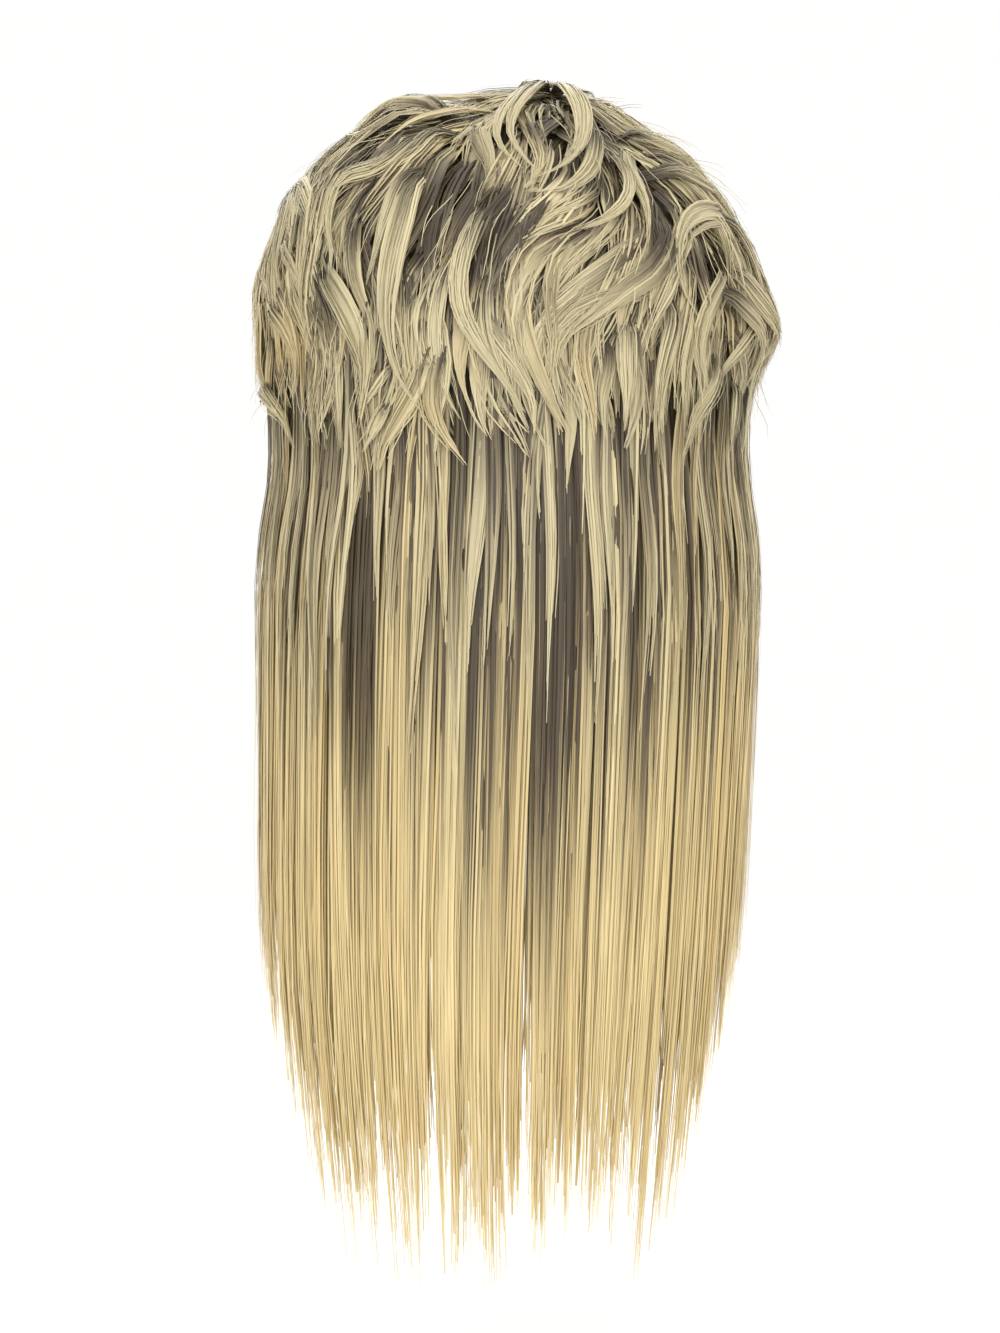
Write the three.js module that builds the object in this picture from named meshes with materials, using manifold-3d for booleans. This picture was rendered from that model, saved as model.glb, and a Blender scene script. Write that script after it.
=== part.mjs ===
// A mullet wig: short wavy hair over the crown, a fringe, short hair at the temples, and long straight hair
// down the back, all carried by a hollow stretch cap. It is shown as it hangs on a head.
// Millimetres, +Z up. The face looks along -Y and the wearer's left is +X.
// The origin is the inside of the cap at the crown, where it rests on the head.
import * as THREE from "three";
import Module from "manifold-3d";

const wasm = await Module();
wasm.setup();

// Head that the cap fits, about 55 cm round
const headHalfWidth = 77;
const headHalfLength = 98;
const crownRise = 95; // from the crown down to the widest level
const napeDrop = 70; // from the widest level down to the nape edge
const napeNarrowing = 0.27; // share by which the back draws in at the nape
const sideNarrowing = 0.18; // the same behind the ears

// Cap
const capWall = 2;
const clearance = 0.3; // between pieces that touch

// Hair over the crown
const topVolume = 19; // body of the hair outside the head, without its locks
const sideVolume = 27;
const backVolume = 20;
const frontVolume = 13;
const crownWidestLevel = 70; // below the crown
const crownLayerBack = 118; // lower edge of the layer at the back, below the crown
const crownLayerSide = 106;
const crownLayerFront = 36;
const crownTuck = 0.01; // share by which the layer draws in at its lower edge
const crownRelief = 2.2; // depth of the grooves between its locks
const crownTipReach = 11; // of the layer's points past its lower edge
const sideBedding = 25; // hair between the head and the crown layer's lower edge
const backBedding = 17;
const lockHalfWidth = 7.5;
const lockHalfDepth = 4.5;
const frontLockCount = 9;

// Fringe and temple hair
const fringeDrop = 92; // tips below the crown
const templeDrop = 140;
const fringeDepth = 8;
const templeDepth = 17;
const fringeHalfTurn = 48; // degrees each side of the face's middle
const seamTurn = 90; // degrees from the back, where temple hair meets the long hair

// Long hair
const longHairDrop = 477; // tips at the middle of the back, below the crown
const longHairTop = 50; // where it starts under the crown layer
const longSideVolume = 29; // hair outside the widest part of the head
const longBackVolume = 19;
const longLockCount = 23;
const longLockRelief = 3.2;

const degrees = Math.PI / 180;
const mix = (a, b, share) => a + (b - a) * share;
const clamp01 = (value) => Math.min(Math.max(value, 0), 1);
const smooth = (value) => clamp01(value) ** 2 * (3 - 2 * clamp01(value));
const quarterArc = (crownRise * Math.PI) / 2;

// A repeatable number from 0 to 1 for the nth lock
const scatter = (n, seed) => {
  const wave = Math.sin(n * 12.9898 + seed * 78.233) * 43758.5453;
  return wave - Math.floor(wave);
};

// The value that a table's column has at a place between its rows
function readTable(rows, key, place, column) {
  const next = rows.findIndex((row) => row[key] >= place);
  if (next < 0) return rows[rows.length - 1][column];
  if (next === 0) return rows[0][column];
  const [before, after] = [rows[next - 1], rows[next]];
  const share = (place - before[key]) / (after[key] - before[key]);
  return mix(before[column], after[column], smooth(share));
}

// Turn is the angle round the head: 0 at the back, +90 degrees at the wearer's left, 180 at the face.
const awayFromBack = (turn) => Math.abs(Math.atan2(Math.sin(turn), Math.cos(turn))) / degrees;

// A value that runs smoothly from the back over the sides to the front
function around(turn, back, side, front) {
  const facing = Math.cos(turn);
  return mix(side, facing > 0 ? back : front, facing ** 2);
}

// Fall is the way down from the crown: 1 at the widest level, then straight down.
const fallAt = (drop) =>
  drop < crownRise
    ? (Math.acos(1 - drop / crownRise) * 2) / Math.PI
    : 1 + (drop - crownRise) / quarterArc;

// A point at a distance outside the head. Straight walls don't draw in towards the neck.
function headPoint(turn, fall, lift, straight = false) {
  const tilt = (Math.min(fall, 1) * Math.PI) / 2;
  const below = Math.max(fall - 1, 0) * quarterArc;
  const narrowing = straight ? 0 : around(turn, napeNarrowing, sideNarrowing, 0);
  const girth = Math.sin(tilt) * (1 - narrowing * Math.min(below / napeDrop, 1) ** 2);
  return new THREE.Vector3(
    (headHalfWidth + lift) * girth * Math.sin(turn),
    (headHalfLength + lift) * girth * Math.cos(turn),
    (crownRise + lift) * Math.cos(tilt) - crownRise - below,
  );
}

// Edge of the cap: hairline, temple, ear tab, ear arch, behind the ear, nape
const capDepth = crownRise + napeDrop;
const capEdge = [
  { turn: 0, drop: 1.0 },
  { turn: 30, drop: 0.98 },
  { turn: 60, drop: 0.84 },
  { turn: 82, drop: 0.62 },
  { turn: 106, drop: 0.76 },
  { turn: 135, drop: 0.42 },
  { turn: 180, drop: 0.28 },
];
const capEdgeFall = (turn) => fallAt(readTable(capEdge, "turn", awayFromBack(turn), "drop") * capDepth);

// Collects vertices and faces and turns them into a solid
class Surface {
  points = [];
  faces = [];
  add(point) {
    return this.points.push(point) - 1;
  }
  quad(a, b, c, d) {
    this.faces.push([a, b, d], [b, c, d]);
  }
  solid() {
    const mesh = new wasm.Mesh({
      numProp: 3,
      vertProperties: new Float32Array(this.points.flatMap((p) => [p.x, p.y, p.z])),
      triVerts: new Uint32Array(this.faces.flat()),
    });
    return new wasm.Manifold(mesh);
  }
}

const columnCount = 40;
const capRows = 8;

// Rings of a dome from its pole down, as indices into the surface
function addDome(surface, pointAt, rows, inward = false) {
  const pole = surface.add(pointAt(0, 0));
  const rings = [];
  for (let row = 1; row <= rows; row++) {
    rings.push(
      Array.from({ length: columnCount }, (_, column) =>
        surface.add(pointAt((column * 2 * Math.PI) / columnCount, row)),
      ),
    );
  }
  for (let column = 0; column < columnCount; column++) {
    const next = (column + 1) % columnCount;
    const [here, there] = inward ? [next, column] : [column, next];
    surface.faces.push([pole, rings[0][there], rings[0][here]]);
    for (let row = 0; row + 1 < rows; row++) {
      surface.quad(rings[row][here], rings[row][there], rings[row + 1][there], rings[row + 1][here]);
    }
  }
  return rings[rows - 1];
}

// A dome closed underneath to one point
function domeSolid(pointAt, rows, floorPoint) {
  const surface = new Surface();
  const rim = addDome(surface, pointAt, rows);
  const floor = surface.add(floorPoint);
  rim.forEach((index, column) => surface.faces.push([index, rim[(column + 1) % columnCount], floor]));
  return surface.solid();
}

// A wall between an outer and an inner grid of points, both as [row][column]
function sheetSolid(outer, inner) {
  const surface = new Surface();
  const [out, into] = [outer, inner].map((grid) => grid.map((row) => row.map((p) => surface.add(p))));
  const lastRow = outer.length - 1;
  const lastColumn = outer[0].length - 1;
  for (let row = 0; row < lastRow; row++) {
    for (let column = 0; column < lastColumn; column++) {
      surface.quad(out[row][column], out[row][column + 1], out[row + 1][column + 1], out[row + 1][column]);
      surface.quad(into[row][column + 1], into[row][column], into[row + 1][column], into[row + 1][column + 1]);
    }
    surface.quad(into[row][0], out[row][0], out[row + 1][0], into[row + 1][0]);
    surface.quad(
      out[row][lastColumn], into[row][lastColumn], into[row + 1][lastColumn], out[row + 1][lastColumn],
    );
  }
  for (let column = 0; column < lastColumn; column++) {
    surface.quad(into[0][column], into[0][column + 1], out[0][column + 1], out[0][column]);
    surface.quad(
      out[lastRow][column], out[lastRow][column + 1], into[lastRow][column + 1], into[lastRow][column],
    );
  }
  return surface.solid();
}

// A flat tapered lock swept along a smooth path
const lockSides = 5;
function lockSolid(points, widthScale) {
  const path = new THREE.CatmullRomCurve3(points);
  const middle = new THREE.Vector3(0, 0, -crownWidestLevel);
  const surface = new Surface();
  const lockRings = points.length;
  const rings = [];
  for (let ring = 0; ring <= lockRings; ring++) {
    const share = ring / lockRings;
    const centre = path.getPointAt(share);
    const along = path.getTangentAt(share);
    const across = along.clone().cross(centre.clone().sub(middle)).normalize();
    const outward = across.clone().cross(along).normalize();
    const swell = mix(0.55, 1, smooth(share * 3)) * mix(1, 0.16, smooth((share - 0.45) / 0.55));
    rings.push(
      Array.from({ length: lockSides }, (_, side) => {
        const angle = (side * 2 * Math.PI) / lockSides;
        return surface.add(
          centre
            .clone()
            .addScaledVector(across, Math.cos(angle) * lockHalfWidth * widthScale * swell)
            .addScaledVector(outward, Math.sin(angle) * lockHalfDepth * swell),
        );
      }),
    );
  }
  for (let side = 0; side < lockSides; side++) {
    const next = (side + 1) % lockSides;
    for (let ring = 0; ring < lockRings; ring++) {
      surface.quad(rings[ring][next], rings[ring][side], rings[ring + 1][side], rings[ring + 1][next]);
    }
  }
  const ends = [rings[0], [...rings[lockRings]].reverse()];
  for (const end of ends) {
    for (let side = 1; side + 1 < lockSides; side++) surface.faces.push([end[0], end[side], end[side + 1]]);
  }
  return surface.solid();
}

// Stretch cap: a hollow dome with ear tabs, open below and at the face
function makeCap() {
  const surface = new Surface();
  const pointAt = (lift) => (turn, row) => headPoint(turn, (row / capRows) * capEdgeFall(turn), lift);
  const outerRim = addDome(surface, pointAt(capWall), capRows);
  const innerRim = addDome(surface, pointAt(0), capRows, true);
  outerRim.forEach((index, column) => {
    const next = (column + 1) % columnCount;
    surface.quad(index, outerRim[next], innerRim[next], innerRim[column]);
  });
  return surface.solid();
}

// Everything that the cap and the head take up. Hair is cut to it. Its rows match the cap's.
const headFloorDrop = 230;
const coreRowsBelow = 5;
function makeCore() {
  const lift = capWall + clearance;
  const floorFall = fallAt(headFloorDrop);
  const pointAt = (turn, row) => {
    const edge = capEdgeFall(turn);
    const fall = row <= capRows ? (row / capRows) * edge : mix(edge, floorFall, (row - capRows) / coreRowsBelow);
    return headPoint(turn, fall, lift);
  };
  return domeSolid(pointAt, capRows + coreRowsBelow, new THREE.Vector3(0, 0, -headFloorDrop));
}

// Fall of the crown layer's lower edge on the head
const crownEdgeDrop = (turn) => around(turn, crownLayerBack, crownLayerSide, crownLayerFront);

// The surface where the crown layer lies on the hair under it. It leaves the cap halfway down the layer
// and opens wide below the layer's edge, which is at share 1.
const partingRows = [
  { share: 0.25, rise: 0, flare: 0 },
  { share: 0.5, rise: 0, flare: 0 },
  { share: 0.65, rise: 0.3, flare: 0 },
  { share: 0.82, rise: 0.75, flare: 0 },
  { share: 1, rise: 1, flare: 0 },
  { share: 1.12, rise: 1, flare: 0 },
  { share: 1.3, rise: 1, flare: 1 },
];
const flareReach = 130;
function makeParting(extra) {
  const floorFall = fallAt(longHairDrop * 1.25);
  const pointAt = (turn, row) => {
    if (row > partingRows.length) return headPoint(turn, floorFall, flareReach + extra, true);
    const { share, rise, flare } = partingRows[Math.max(row - 1, 0)];
    const bedding = around(turn, backBedding, sideBedding, fringeDepth);
    const fall = row === 0 ? 0 : share * fallAt(crownEdgeDrop(turn));
    return headPoint(turn, fall, mix(bedding * rise, flareReach, flare) + extra, true);
  };
  return domeSolid(pointAt, partingRows.length + 1, headPoint(0, floorFall, 0, true).setY(0));
}

// A point on the hair's dome over the crown
const domeHalfWidth = headHalfWidth + sideVolume;
const domeRise = crownWidestLevel + topVolume;
function domePoint(turn, drop, lift = 0) {
  const halfLength = headHalfLength + around(turn, backVolume, mix(backVolume, frontVolume, 0.5), frontVolume);
  const rise = domeRise + lift;
  const level = Math.min(Math.max(topVolume + lift, 0) + drop, rise); // down from the dome's own top
  const below = Math.max(drop - crownWidestLevel, 0);
  const tuck = crownTuck * (below / (crownLayerBack - crownWidestLevel)) ** 2;
  const girth = Math.sqrt(1 - (1 - level / rise) ** 2) * (1 - tuck);
  return new THREE.Vector3(
    (domeHalfWidth + lift) * girth * Math.sin(turn),
    (halfLength + lift) * girth * Math.cos(turn),
    -drop,
  );
}

// A point on the dome as seen from behind. Side runs from -1 to 1 across the hair, down from 0 at its top
// to 1 at the layer's lower edge. A point outside the dome's outline stays at the side of the head.
const seenDrop = crownLayerBack + topVolume + lockHalfDepth + 6;
function backPoint(side, down, lift) {
  const drop = down * seenDrop - topVolume - lockHalfDepth;
  const x = side * (domeHalfWidth + lockHalfDepth);
  const reach = domePoint(Math.PI / 2, drop, lift).x;
  if (Math.abs(x) < reach) return domePoint(Math.asin(x / reach), drop, lift);
  return new THREE.Vector3(x, 0, -drop);
}

// Main locks at the back, from root to tip, as seen from behind: side and down as in backPoint
const backLocks = [
  { width: 1.2, path: [[0.23, 0.2], [0.36, 0.31], [0.43, 0.46], [0.46, 0.64], [0.44, 0.78], [0.31, 0.97]] },
  { width: 0.8, path: [[0.07, 0.32], [0.16, 0.45], [0.2, 0.59], [0.16, 0.73], [0.06, 0.86], [-0.06, 0.97]] },
  { width: 0.7, path: [[-0.13, 0.04], [0, 0.1], [0.06, 0.19], [0.02, 0.26], [-0.07, 0.31]] },
  { width: 0.9, path: [[-0.17, 0.04], [-0.25, 0.12], [-0.25, 0.22], [-0.17, 0.31], [-0.05, 0.35]] },
  { width: 0.6, path: [[-0.3, 0.2], [-0.4, 0.31], [-0.43, 0.38], [-0.36, 0.44], [-0.24, 0.47]] },
  { width: 1.4, path: [[-0.52, 0.3], [-0.53, 0.41], [-0.48, 0.5], [-0.34, 0.6], [-0.2, 0.69], [-0.15, 0.82], [-0.24, 1.01]] },
  { width: 1.3, path: [[-0.3, 0.36], [-0.18, 0.46], [-0.07, 0.56], [-0.03, 0.67], [-0.07, 0.8], [-0.2, 0.98]] },
  { width: 1.0, path: [[-0.8, 0.38], [-0.67, 0.41], [-0.61, 0.52], [-0.63, 0.62], [-0.72, 0.73]] },
  { width: 0.9, path: [[-0.5, 0.2], [-0.58, 0.34], [-0.56, 0.52], [-0.45, 0.64], [-0.3, 0.75]] },
  { width: 1.0, path: [[-0.87, 0.53], [-0.79, 0.62], [-0.71, 0.73], [-0.68, 0.85], [-0.65, 1]] },
  { width: 1.1, path: [[-0.84, 0.47], [-0.95, 0.6], [-1.03, 0.72], [-0.97, 0.8], [-0.84, 0.86]] },
  { width: 0.9, path: [[0.22, 0.11], [0.4, 0.16], [0.56, 0.2], [0.7, 0.26]] },
  { width: 1.1, path: [[0.29, 0.17], [0.4, 0.25], [0.55, 0.3], [0.66, 0.38], [0.68, 0.48], [0.62, 0.62], [0.54, 0.76]] },
  { width: 0.8, path: [[0.36, 0.23], [0.44, 0.33], [0.48, 0.43], [0.54, 0.54]] },
  { width: 1.2, path: [[0.6, 0.2], [0.8, 0.33], [0.88, 0.45], [0.87, 0.57], [0.8, 0.66]] },
  { width: 1.2, path: [[0.8, 0.68], [0.9, 0.7], [0.97, 0.77], [0.93, 0.86], [0.83, 0.88]] },
  { width: 1.0, path: [[0.74, 0.57], [0.65, 0.67], [0.58, 0.78], [0.57, 0.92]] },
  { width: 0.7, path: [[0.97, 0.84], [0.91, 0.95], [0.82, 1.04]] },
  { width: 1.3, path: [[0.28, 0.05], [0.42, 0.09], [0.52, 0.13], [0.62, 0.2]] },
  { width: 1.2, path: [[-0.3, 0.06], [-0.45, 0.1], [-0.58, 0.18], [-0.66, 0.27], [-0.7, 0.36]] },
];

// A lock starts inside the hair, stands proud along its middle and ends on the hair under it.
const lockLift = (share) => lockHalfDepth * (1.3 * smooth(share * 3) - 0.5 - 0.35 * share);

function makeCrownLocks() {
  const locks = backLocks.map(({ width, path }) =>
    lockSolid(
      path.map(([side, down], index) => backPoint(side, down, lockLift(index / (path.length - 1)))),
      width,
    ),
  );
  const steps = 5;
  for (let index = 0; index < frontLockCount; index++) {
    const turn = mix(105, 255, index / (frontLockCount - 1)) * degrees;
    const sweep = mix(0.25, -0.25, index / (frontLockCount - 1)) + 0.2;
    const edgeDrop = crownEdgeDrop(turn) * 1.15;
    const points = Array.from({ length: steps }, (_, step) => {
      const share = step / (steps - 1);
      const wave = 0.12 * Math.sin(share * 2 * Math.PI + index);
      return domePoint(turn + sweep * share + wave, mix(-topVolume * 0.8, edgeDrop, share), lockLift(share));
    });
    locks.push(lockSolid(points, 1.3));
  }
  return locks;
}

// The layer's own form: shallow ridges that end in points, longer and shorter by turns
const crownRows = 8;
function makeCrownHair(core) {
  const pointAt = (turn, row) => {
    const share = row / crownRows;
    const tilt = (share * Math.PI) / 2;
    const column = Math.round((turn / (2 * Math.PI)) * columnCount);
    const point = isRidge(column) ? crownTipReach * scatter(column, 7) : -crownTipReach;
    const edge = crownEdgeDrop(turn) + (row === crownRows ? point : 0);
    const drop = (edge + topVolume) * mix(1 - Math.cos(tilt), share, share) - topVolume;
    return domePoint(turn, drop, (isRidge(column) ? 0 : -crownRelief) * smooth(share * 2));
  };
  const floorPoint = new THREE.Vector3(0, 0, -crownRise * 0.9);
  const body = domeSolid(pointAt, crownRows, floorPoint);
  const whole = makeCrownLocks().reduce((sum, lock) => sum.add(lock), body);
  return largest(whole.subtract(core).subtract(makeParting(clearance)));
}

// The biggest body of a cut solid, without the crumbs that the cut leaves
function largest(solid) {
  return solid.decompose().reduce((best, body) => (body.volume() > best.volume() ? body : best));
}

// A lock's ridges across a sheet: odd columns are ridges, even ones the valleys between them
const isRidge = (column) => column % 2 === 1;

// Short hair that hangs from the cap between two turns, in locks that end in points
function makeShortHair({ fromTurn, toTurn, locks, drop, tipScatter, depth, sweep, seed }) {
  const columns = locks * 2;
  const startDrop = crownEdgeDrop((fromTurn + toTurn) * 0.5 * degrees) * 0.45;
  const sheetRows = 5;
  const grid = (liftAt) =>
    Array.from({ length: sheetRows + 1 }, (_, row) =>
      Array.from({ length: columns + 1 }, (_, column) => {
        const share = row / sheetRows;
        const tip = drop * (1 - (isRidge(column) ? 0.06 : 0.2) - tipScatter * scatter(column, seed));
        const level = mix(startDrop, tip, share);
        const sideways = sweep * share * share * Math.sin((Math.PI * column) / columns);
        const turn = (mix(fromTurn, toTurn, column / columns) + sideways) * degrees;
        return headPoint(turn, fallAt(level), liftAt(share, isRidge(column)), true);
      }),
    );
  const tipDepth = 1.5;
  const outer = grid((share, ridge) => {
    const full = mix(depth, tipDepth * 2, smooth((share - 0.55) / 0.45));
    return capWall + full * (ridge ? 1 : 0.8);
  });
  const inner = grid((share, ridge) => {
    const full = mix(depth, tipDepth * 2, smooth((share - 0.55) / 0.45));
    return Math.min(capWall - 1, capWall + full * (ridge ? 1 : 0.8) - tipDepth);
  });
  return sheetSolid(outer, inner);
}

// Long hair: a curtain round the back, in vertical locks. Drop is a share of the whole length.
const longWidth = headHalfWidth + longSideVolume;
const longDepth = headHalfLength + longBackVolume;
const longSections = [
  { drop: 0.1, width: 0.92, back: 0.95, side: 0, wall: 60 },
  { drop: 0.3, width: 0.94, back: 0.965, side: 0, wall: 48 },
  { drop: 0.36, width: 0.99, back: 0.99, side: 0, wall: 30 },
  { drop: 0.41, width: 1, back: 0.98, side: 0.04, wall: 20 },
  { drop: 0.48, width: 0.99, back: 0.95, side: 0.1, wall: 16 },
  { drop: 0.59, width: 0.94, back: 0.92, side: 0.18, wall: 13 },
  { drop: 0.7, width: 0.88, back: 0.91, side: 0.3, wall: 11 },
  { drop: 0.8, width: 0.83, back: 0.92, side: 0.42, wall: 9 },
  { drop: 0.9, width: 0.77, back: 0.94, side: 0.52, wall: 7 },
  { drop: 1, width: 0.7, back: 0.96, side: 0.6, wall: 4 },
];
// How far down the hair reaches, from the middle of the back to its side edge
const longLengths = [
  { across: 0, length: 1 },
  { across: 0.45, length: 0.98 },
  { across: 0.62, length: 0.92 },
  { across: 0.72, length: 0.8 },
  { across: 0.84, length: 0.68 },
  { across: 1, length: 0.5 },
];
const longRows = 9;
const tipWall = 1.5;
function makeLongHair() {
  const columns = longLockCount * 2;
  const grid = (isOuter) =>
    Array.from({ length: longRows + 1 }, (_, row) =>
      Array.from({ length: columns + 1 }, (_, column) => {
        const across = mix(-1, 1, column / columns);
        const reach = readTable(longLengths, "across", Math.abs(across), "length") * longHairDrop;
        const tip = reach * (1 - (isRidge(column) ? 0.05 : 0.12) * scatter(column, 3) - (isRidge(column) ? 0 : 0.05));
        const drop = mix(longHairTop, tip, row / longRows);
        const at = (name) => readTable(longSections, "drop", drop / longHairDrop, name);
        const relief = longLockRelief * (isRidge(column) ? 0 : -1) * (0.6 + 0.4 * scatter(column, 5));
        const thinned = mix(at("wall"), tipWall, smooth((row / longRows - 0.75) / 0.25));
        const wall = isOuter ? 0 : Math.max(thinned + relief, tipWall * 0.8);
        const bulge = (isOuter ? relief * smooth(row / 3) * mix(1, 0.4, row / longRows) : 0) - wall;
        const angle = across * (Math.PI / 2);
        const edge = at("side") * longDepth + clearance;
        return new THREE.Vector3(
          (at("width") * longWidth + bulge) * Math.sin(angle),
          edge + (at("back") * longDepth + bulge - edge) * Math.cos(angle),
          -drop,
        );
      }),
    );
  return sheetSolid(grid(true), grid(false));
}

const colours = {
  cap: { color: 0x2e2823, roughness: 0.9 },
  crown: { color: 0xb3a67f, roughness: 0.5 },
  fringe: { color: 0xc2b78f, roughness: 0.5 },
  temple: { color: 0xbcae82, roughness: 0.5 },
  long: { color: 0xcbbd8e, roughness: 0.45 },
};

function meshOf(name, solid, finish) {
  const { numProp, vertProperties, triVerts } = solid.getMesh();
  const geometry = new THREE.BufferGeometry();
  const corners = new THREE.InterleavedBuffer(vertProperties, numProp);
  geometry.setAttribute("position", new THREE.InterleavedBufferAttribute(corners, 3, 0));
  geometry.setIndex(new THREE.BufferAttribute(triVerts, 1));
  const mesh = new THREE.Mesh(geometry.toNonIndexed(), new THREE.MeshStandardMaterial({ metalness: 0, ...finish }));
  mesh.name = name;
  return mesh;
}

const core = makeCore();
const parting = makeParting(0);
const underLayer = (solid) => largest(solid.subtract(core).intersect(parting));
const seamGap = (clearance / headHalfWidth / degrees) * 0.6;
const fringeStart = 180 - fringeHalfTurn;
const temple = { locks: 5, drop: templeDrop, tipScatter: 0.1, depth: templeDepth };

const wig = new THREE.Group();
wig.add(
  meshOf("wig_cap", makeCap(), colours.cap),
  meshOf("crown_hair", makeCrownHair(core), colours.crown),
  meshOf(
    "fringe",
    underLayer(
      makeShortHair({
        fromTurn: fringeStart + seamGap, toTurn: 360 - fringeStart - seamGap,
        locks: 9, drop: fringeDrop, tipScatter: 0.12, depth: fringeDepth, sweep: 7, seed: 1,
      }),
    ),
    colours.fringe,
  ),
  meshOf(
    "temple_hair_left",
    underLayer(makeShortHair({ ...temple, fromTurn: seamTurn, toTurn: fringeStart, sweep: -5, seed: 2 })),
    colours.temple,
  ),
  meshOf(
    "temple_hair_right",
    underLayer(makeShortHair({ ...temple, fromTurn: 360 - fringeStart, toTurn: 360 - seamTurn, sweep: 5, seed: 4 })),
    colours.temple,
  ),
  meshOf("long_back_hair", underLayer(makeLongHair()), colours.long),
);

export default wig;
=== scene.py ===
# A mullet wig: short wavy hair over the crown, a fringe, temple hair and long straight hair down the back,
# all on a hollow stretch cap. Metres, +Z up. The face looks along -Y and the wearer's left is +X.
import math

import bpy
import numpy as np
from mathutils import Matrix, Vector


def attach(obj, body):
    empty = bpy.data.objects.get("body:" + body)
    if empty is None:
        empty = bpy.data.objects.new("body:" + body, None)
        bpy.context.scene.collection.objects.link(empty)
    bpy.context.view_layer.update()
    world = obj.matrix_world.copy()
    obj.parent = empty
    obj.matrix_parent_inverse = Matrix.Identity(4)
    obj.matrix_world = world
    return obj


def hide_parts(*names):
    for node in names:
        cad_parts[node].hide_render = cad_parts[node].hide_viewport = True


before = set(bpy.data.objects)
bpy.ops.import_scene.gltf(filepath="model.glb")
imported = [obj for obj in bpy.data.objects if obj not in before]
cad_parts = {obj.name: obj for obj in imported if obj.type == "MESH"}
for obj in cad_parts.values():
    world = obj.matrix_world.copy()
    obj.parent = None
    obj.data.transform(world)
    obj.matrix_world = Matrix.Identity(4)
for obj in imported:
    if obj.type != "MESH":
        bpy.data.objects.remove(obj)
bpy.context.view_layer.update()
scene = bpy.context.scene
print("frame loaded:", ", ".join(sorted(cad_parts)))

# The head that the cap fits, and how far the hair stands off it, as in the solids
head = {
    "halfWidth": 0.077,
    "halfLength": 0.098,
    "crownRise": 0.095,
    "capWall": 0.002,
    "topVolume": 0.019,
    "sideVolume": 0.027,
    "backVolume": 0.020,
    "frontVolume": 0.013,
    "widestLevel": 0.070,
    "layerBack": 0.118,
    "layerSide": 0.106,
    "layerFront": 0.036,
    "longDrop": 0.477,
    "longTop": 0.050,
    "longWidth": 0.106,
    "longDepth": 0.117,
}


def smooth(value):
    value = np.clip(value, 0, 1)
    return value * value * (3 - 2 * value)


def mix(a, b, share):
    return a + (b - a) * share


def unit(vectors):
    length = np.linalg.norm(vectors, axis=-1, keepdims=True)
    return vectors / np.maximum(length, 1e-9)


# A value that runs from the back of the head over the sides to the front
def around(turn, back, side, front):
    facing = np.cos(turn)
    return mix(side, np.where(facing > 0, back, front), facing**2)


# The hair's dome: an ellipsoid down to its widest level, then straight walls
def domeAxes(points, lift):
    turn = np.arctan2(points[:, 0], points[:, 1])
    sideLength = mix(head["backVolume"], head["frontVolume"], 0.5)
    length = head["halfLength"] + around(turn, head["backVolume"], sideLength, head["frontVolume"])
    width = head["halfWidth"] + head["sideVolume"] + 0 * turn
    rise = head["widestLevel"] + head["topVolume"] + 0 * turn
    return np.stack([width + lift, length + lift, rise + lift], axis=1)


def ontoDome(points, lift=0.0):
    points = np.asarray(points, float)
    axes = domeAxes(points, lift)
    local = points + [0, 0, head["widestLevel"]]
    above = local[:, 2] > 0
    local[:, 2] = np.maximum(local[:, 2], 0)
    local /= np.linalg.norm(local / axes, axis=1)[:, None]
    local[:, 2] = np.where(above, local[:, 2] - head["widestLevel"], points[:, 2])
    return local


def domeNormal(points):
    axes = domeAxes(points, 0.0)
    local = points + [0, 0, head["widestLevel"]]
    local[:, 2] = np.maximum(local[:, 2], 0)
    return unit(local / axes**2)


# A point of the dome as seen from behind: side from -1 to 1 across it, down from 0 at the top to 1 at the
# lower edge of the crown layer
def backPoint(side, down):
    z = 0.0235 - down * 0.1475
    x = side * 0.1085
    height = max(z + head["widestLevel"], 0) / (head["widestLevel"] + head["topVolume"])
    girth = math.sqrt(max(1 - height**2, 0.0004))
    reach = (head["halfWidth"] + head["sideVolume"]) * girth
    sine = min(abs(x) / reach, 0.999)
    y = (head["halfLength"] + head["backVolume"]) * girth * math.sqrt(1 - sine**2)
    return [x, y, z]


# A smooth line through given points, in even steps
def splineThrough(points, count):
    points = np.asarray(points, float)
    chord = np.r_[0, np.cumsum(np.linalg.norm(np.diff(points, axis=0), axis=1))]
    tangents = np.gradient(points, chord, axis=0)
    at = np.linspace(0, chord[-1], count)
    span = np.clip(np.searchsorted(chord, at, side="right") - 1, 0, len(points) - 2)
    width = (chord[span + 1] - chord[span])[:, None]
    t = (at - chord[span])[:, None] / width
    start = (1 + 2 * t) * (1 - t) ** 2 * points[span] + t * (1 - t) ** 2 * width * tangents[span]
    end = t * t * (3 - 2 * t) * points[span + 1] + t * t * (t - 1) * width * tangents[span + 1]
    return start + end


# One lock's guide line with the directions and sizes that its strands are spread by
def lockGuide(points, outward, halfWidth, halfDepth, tone, warm=0.0, tip=0.14, fade=None):
    share = np.linspace(0, 1, len(points))
    along = unit(np.gradient(points, axis=0))
    outward = unit(outward - along * np.sum(outward * along, axis=1)[:, None])
    taper = mix(0.4, 1, smooth(share / 0.35)) * mix(1, tip, smooth((share - 0.45) / 0.55))
    return {
        "points": points,
        "outDir": outward,
        "acrossDir": np.cross(along, outward),
        "halfWidth": halfWidth * taper,
        "halfDepth": halfDepth * taper,
        "spread": mix(1, tip, smooth((share - 0.4) / 0.6)),
        "along": share,
        "fade": share if fade is None else fade,
        "tone": tone + 0 * share,
        "warm": warm + 0 * share,
    }


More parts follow.
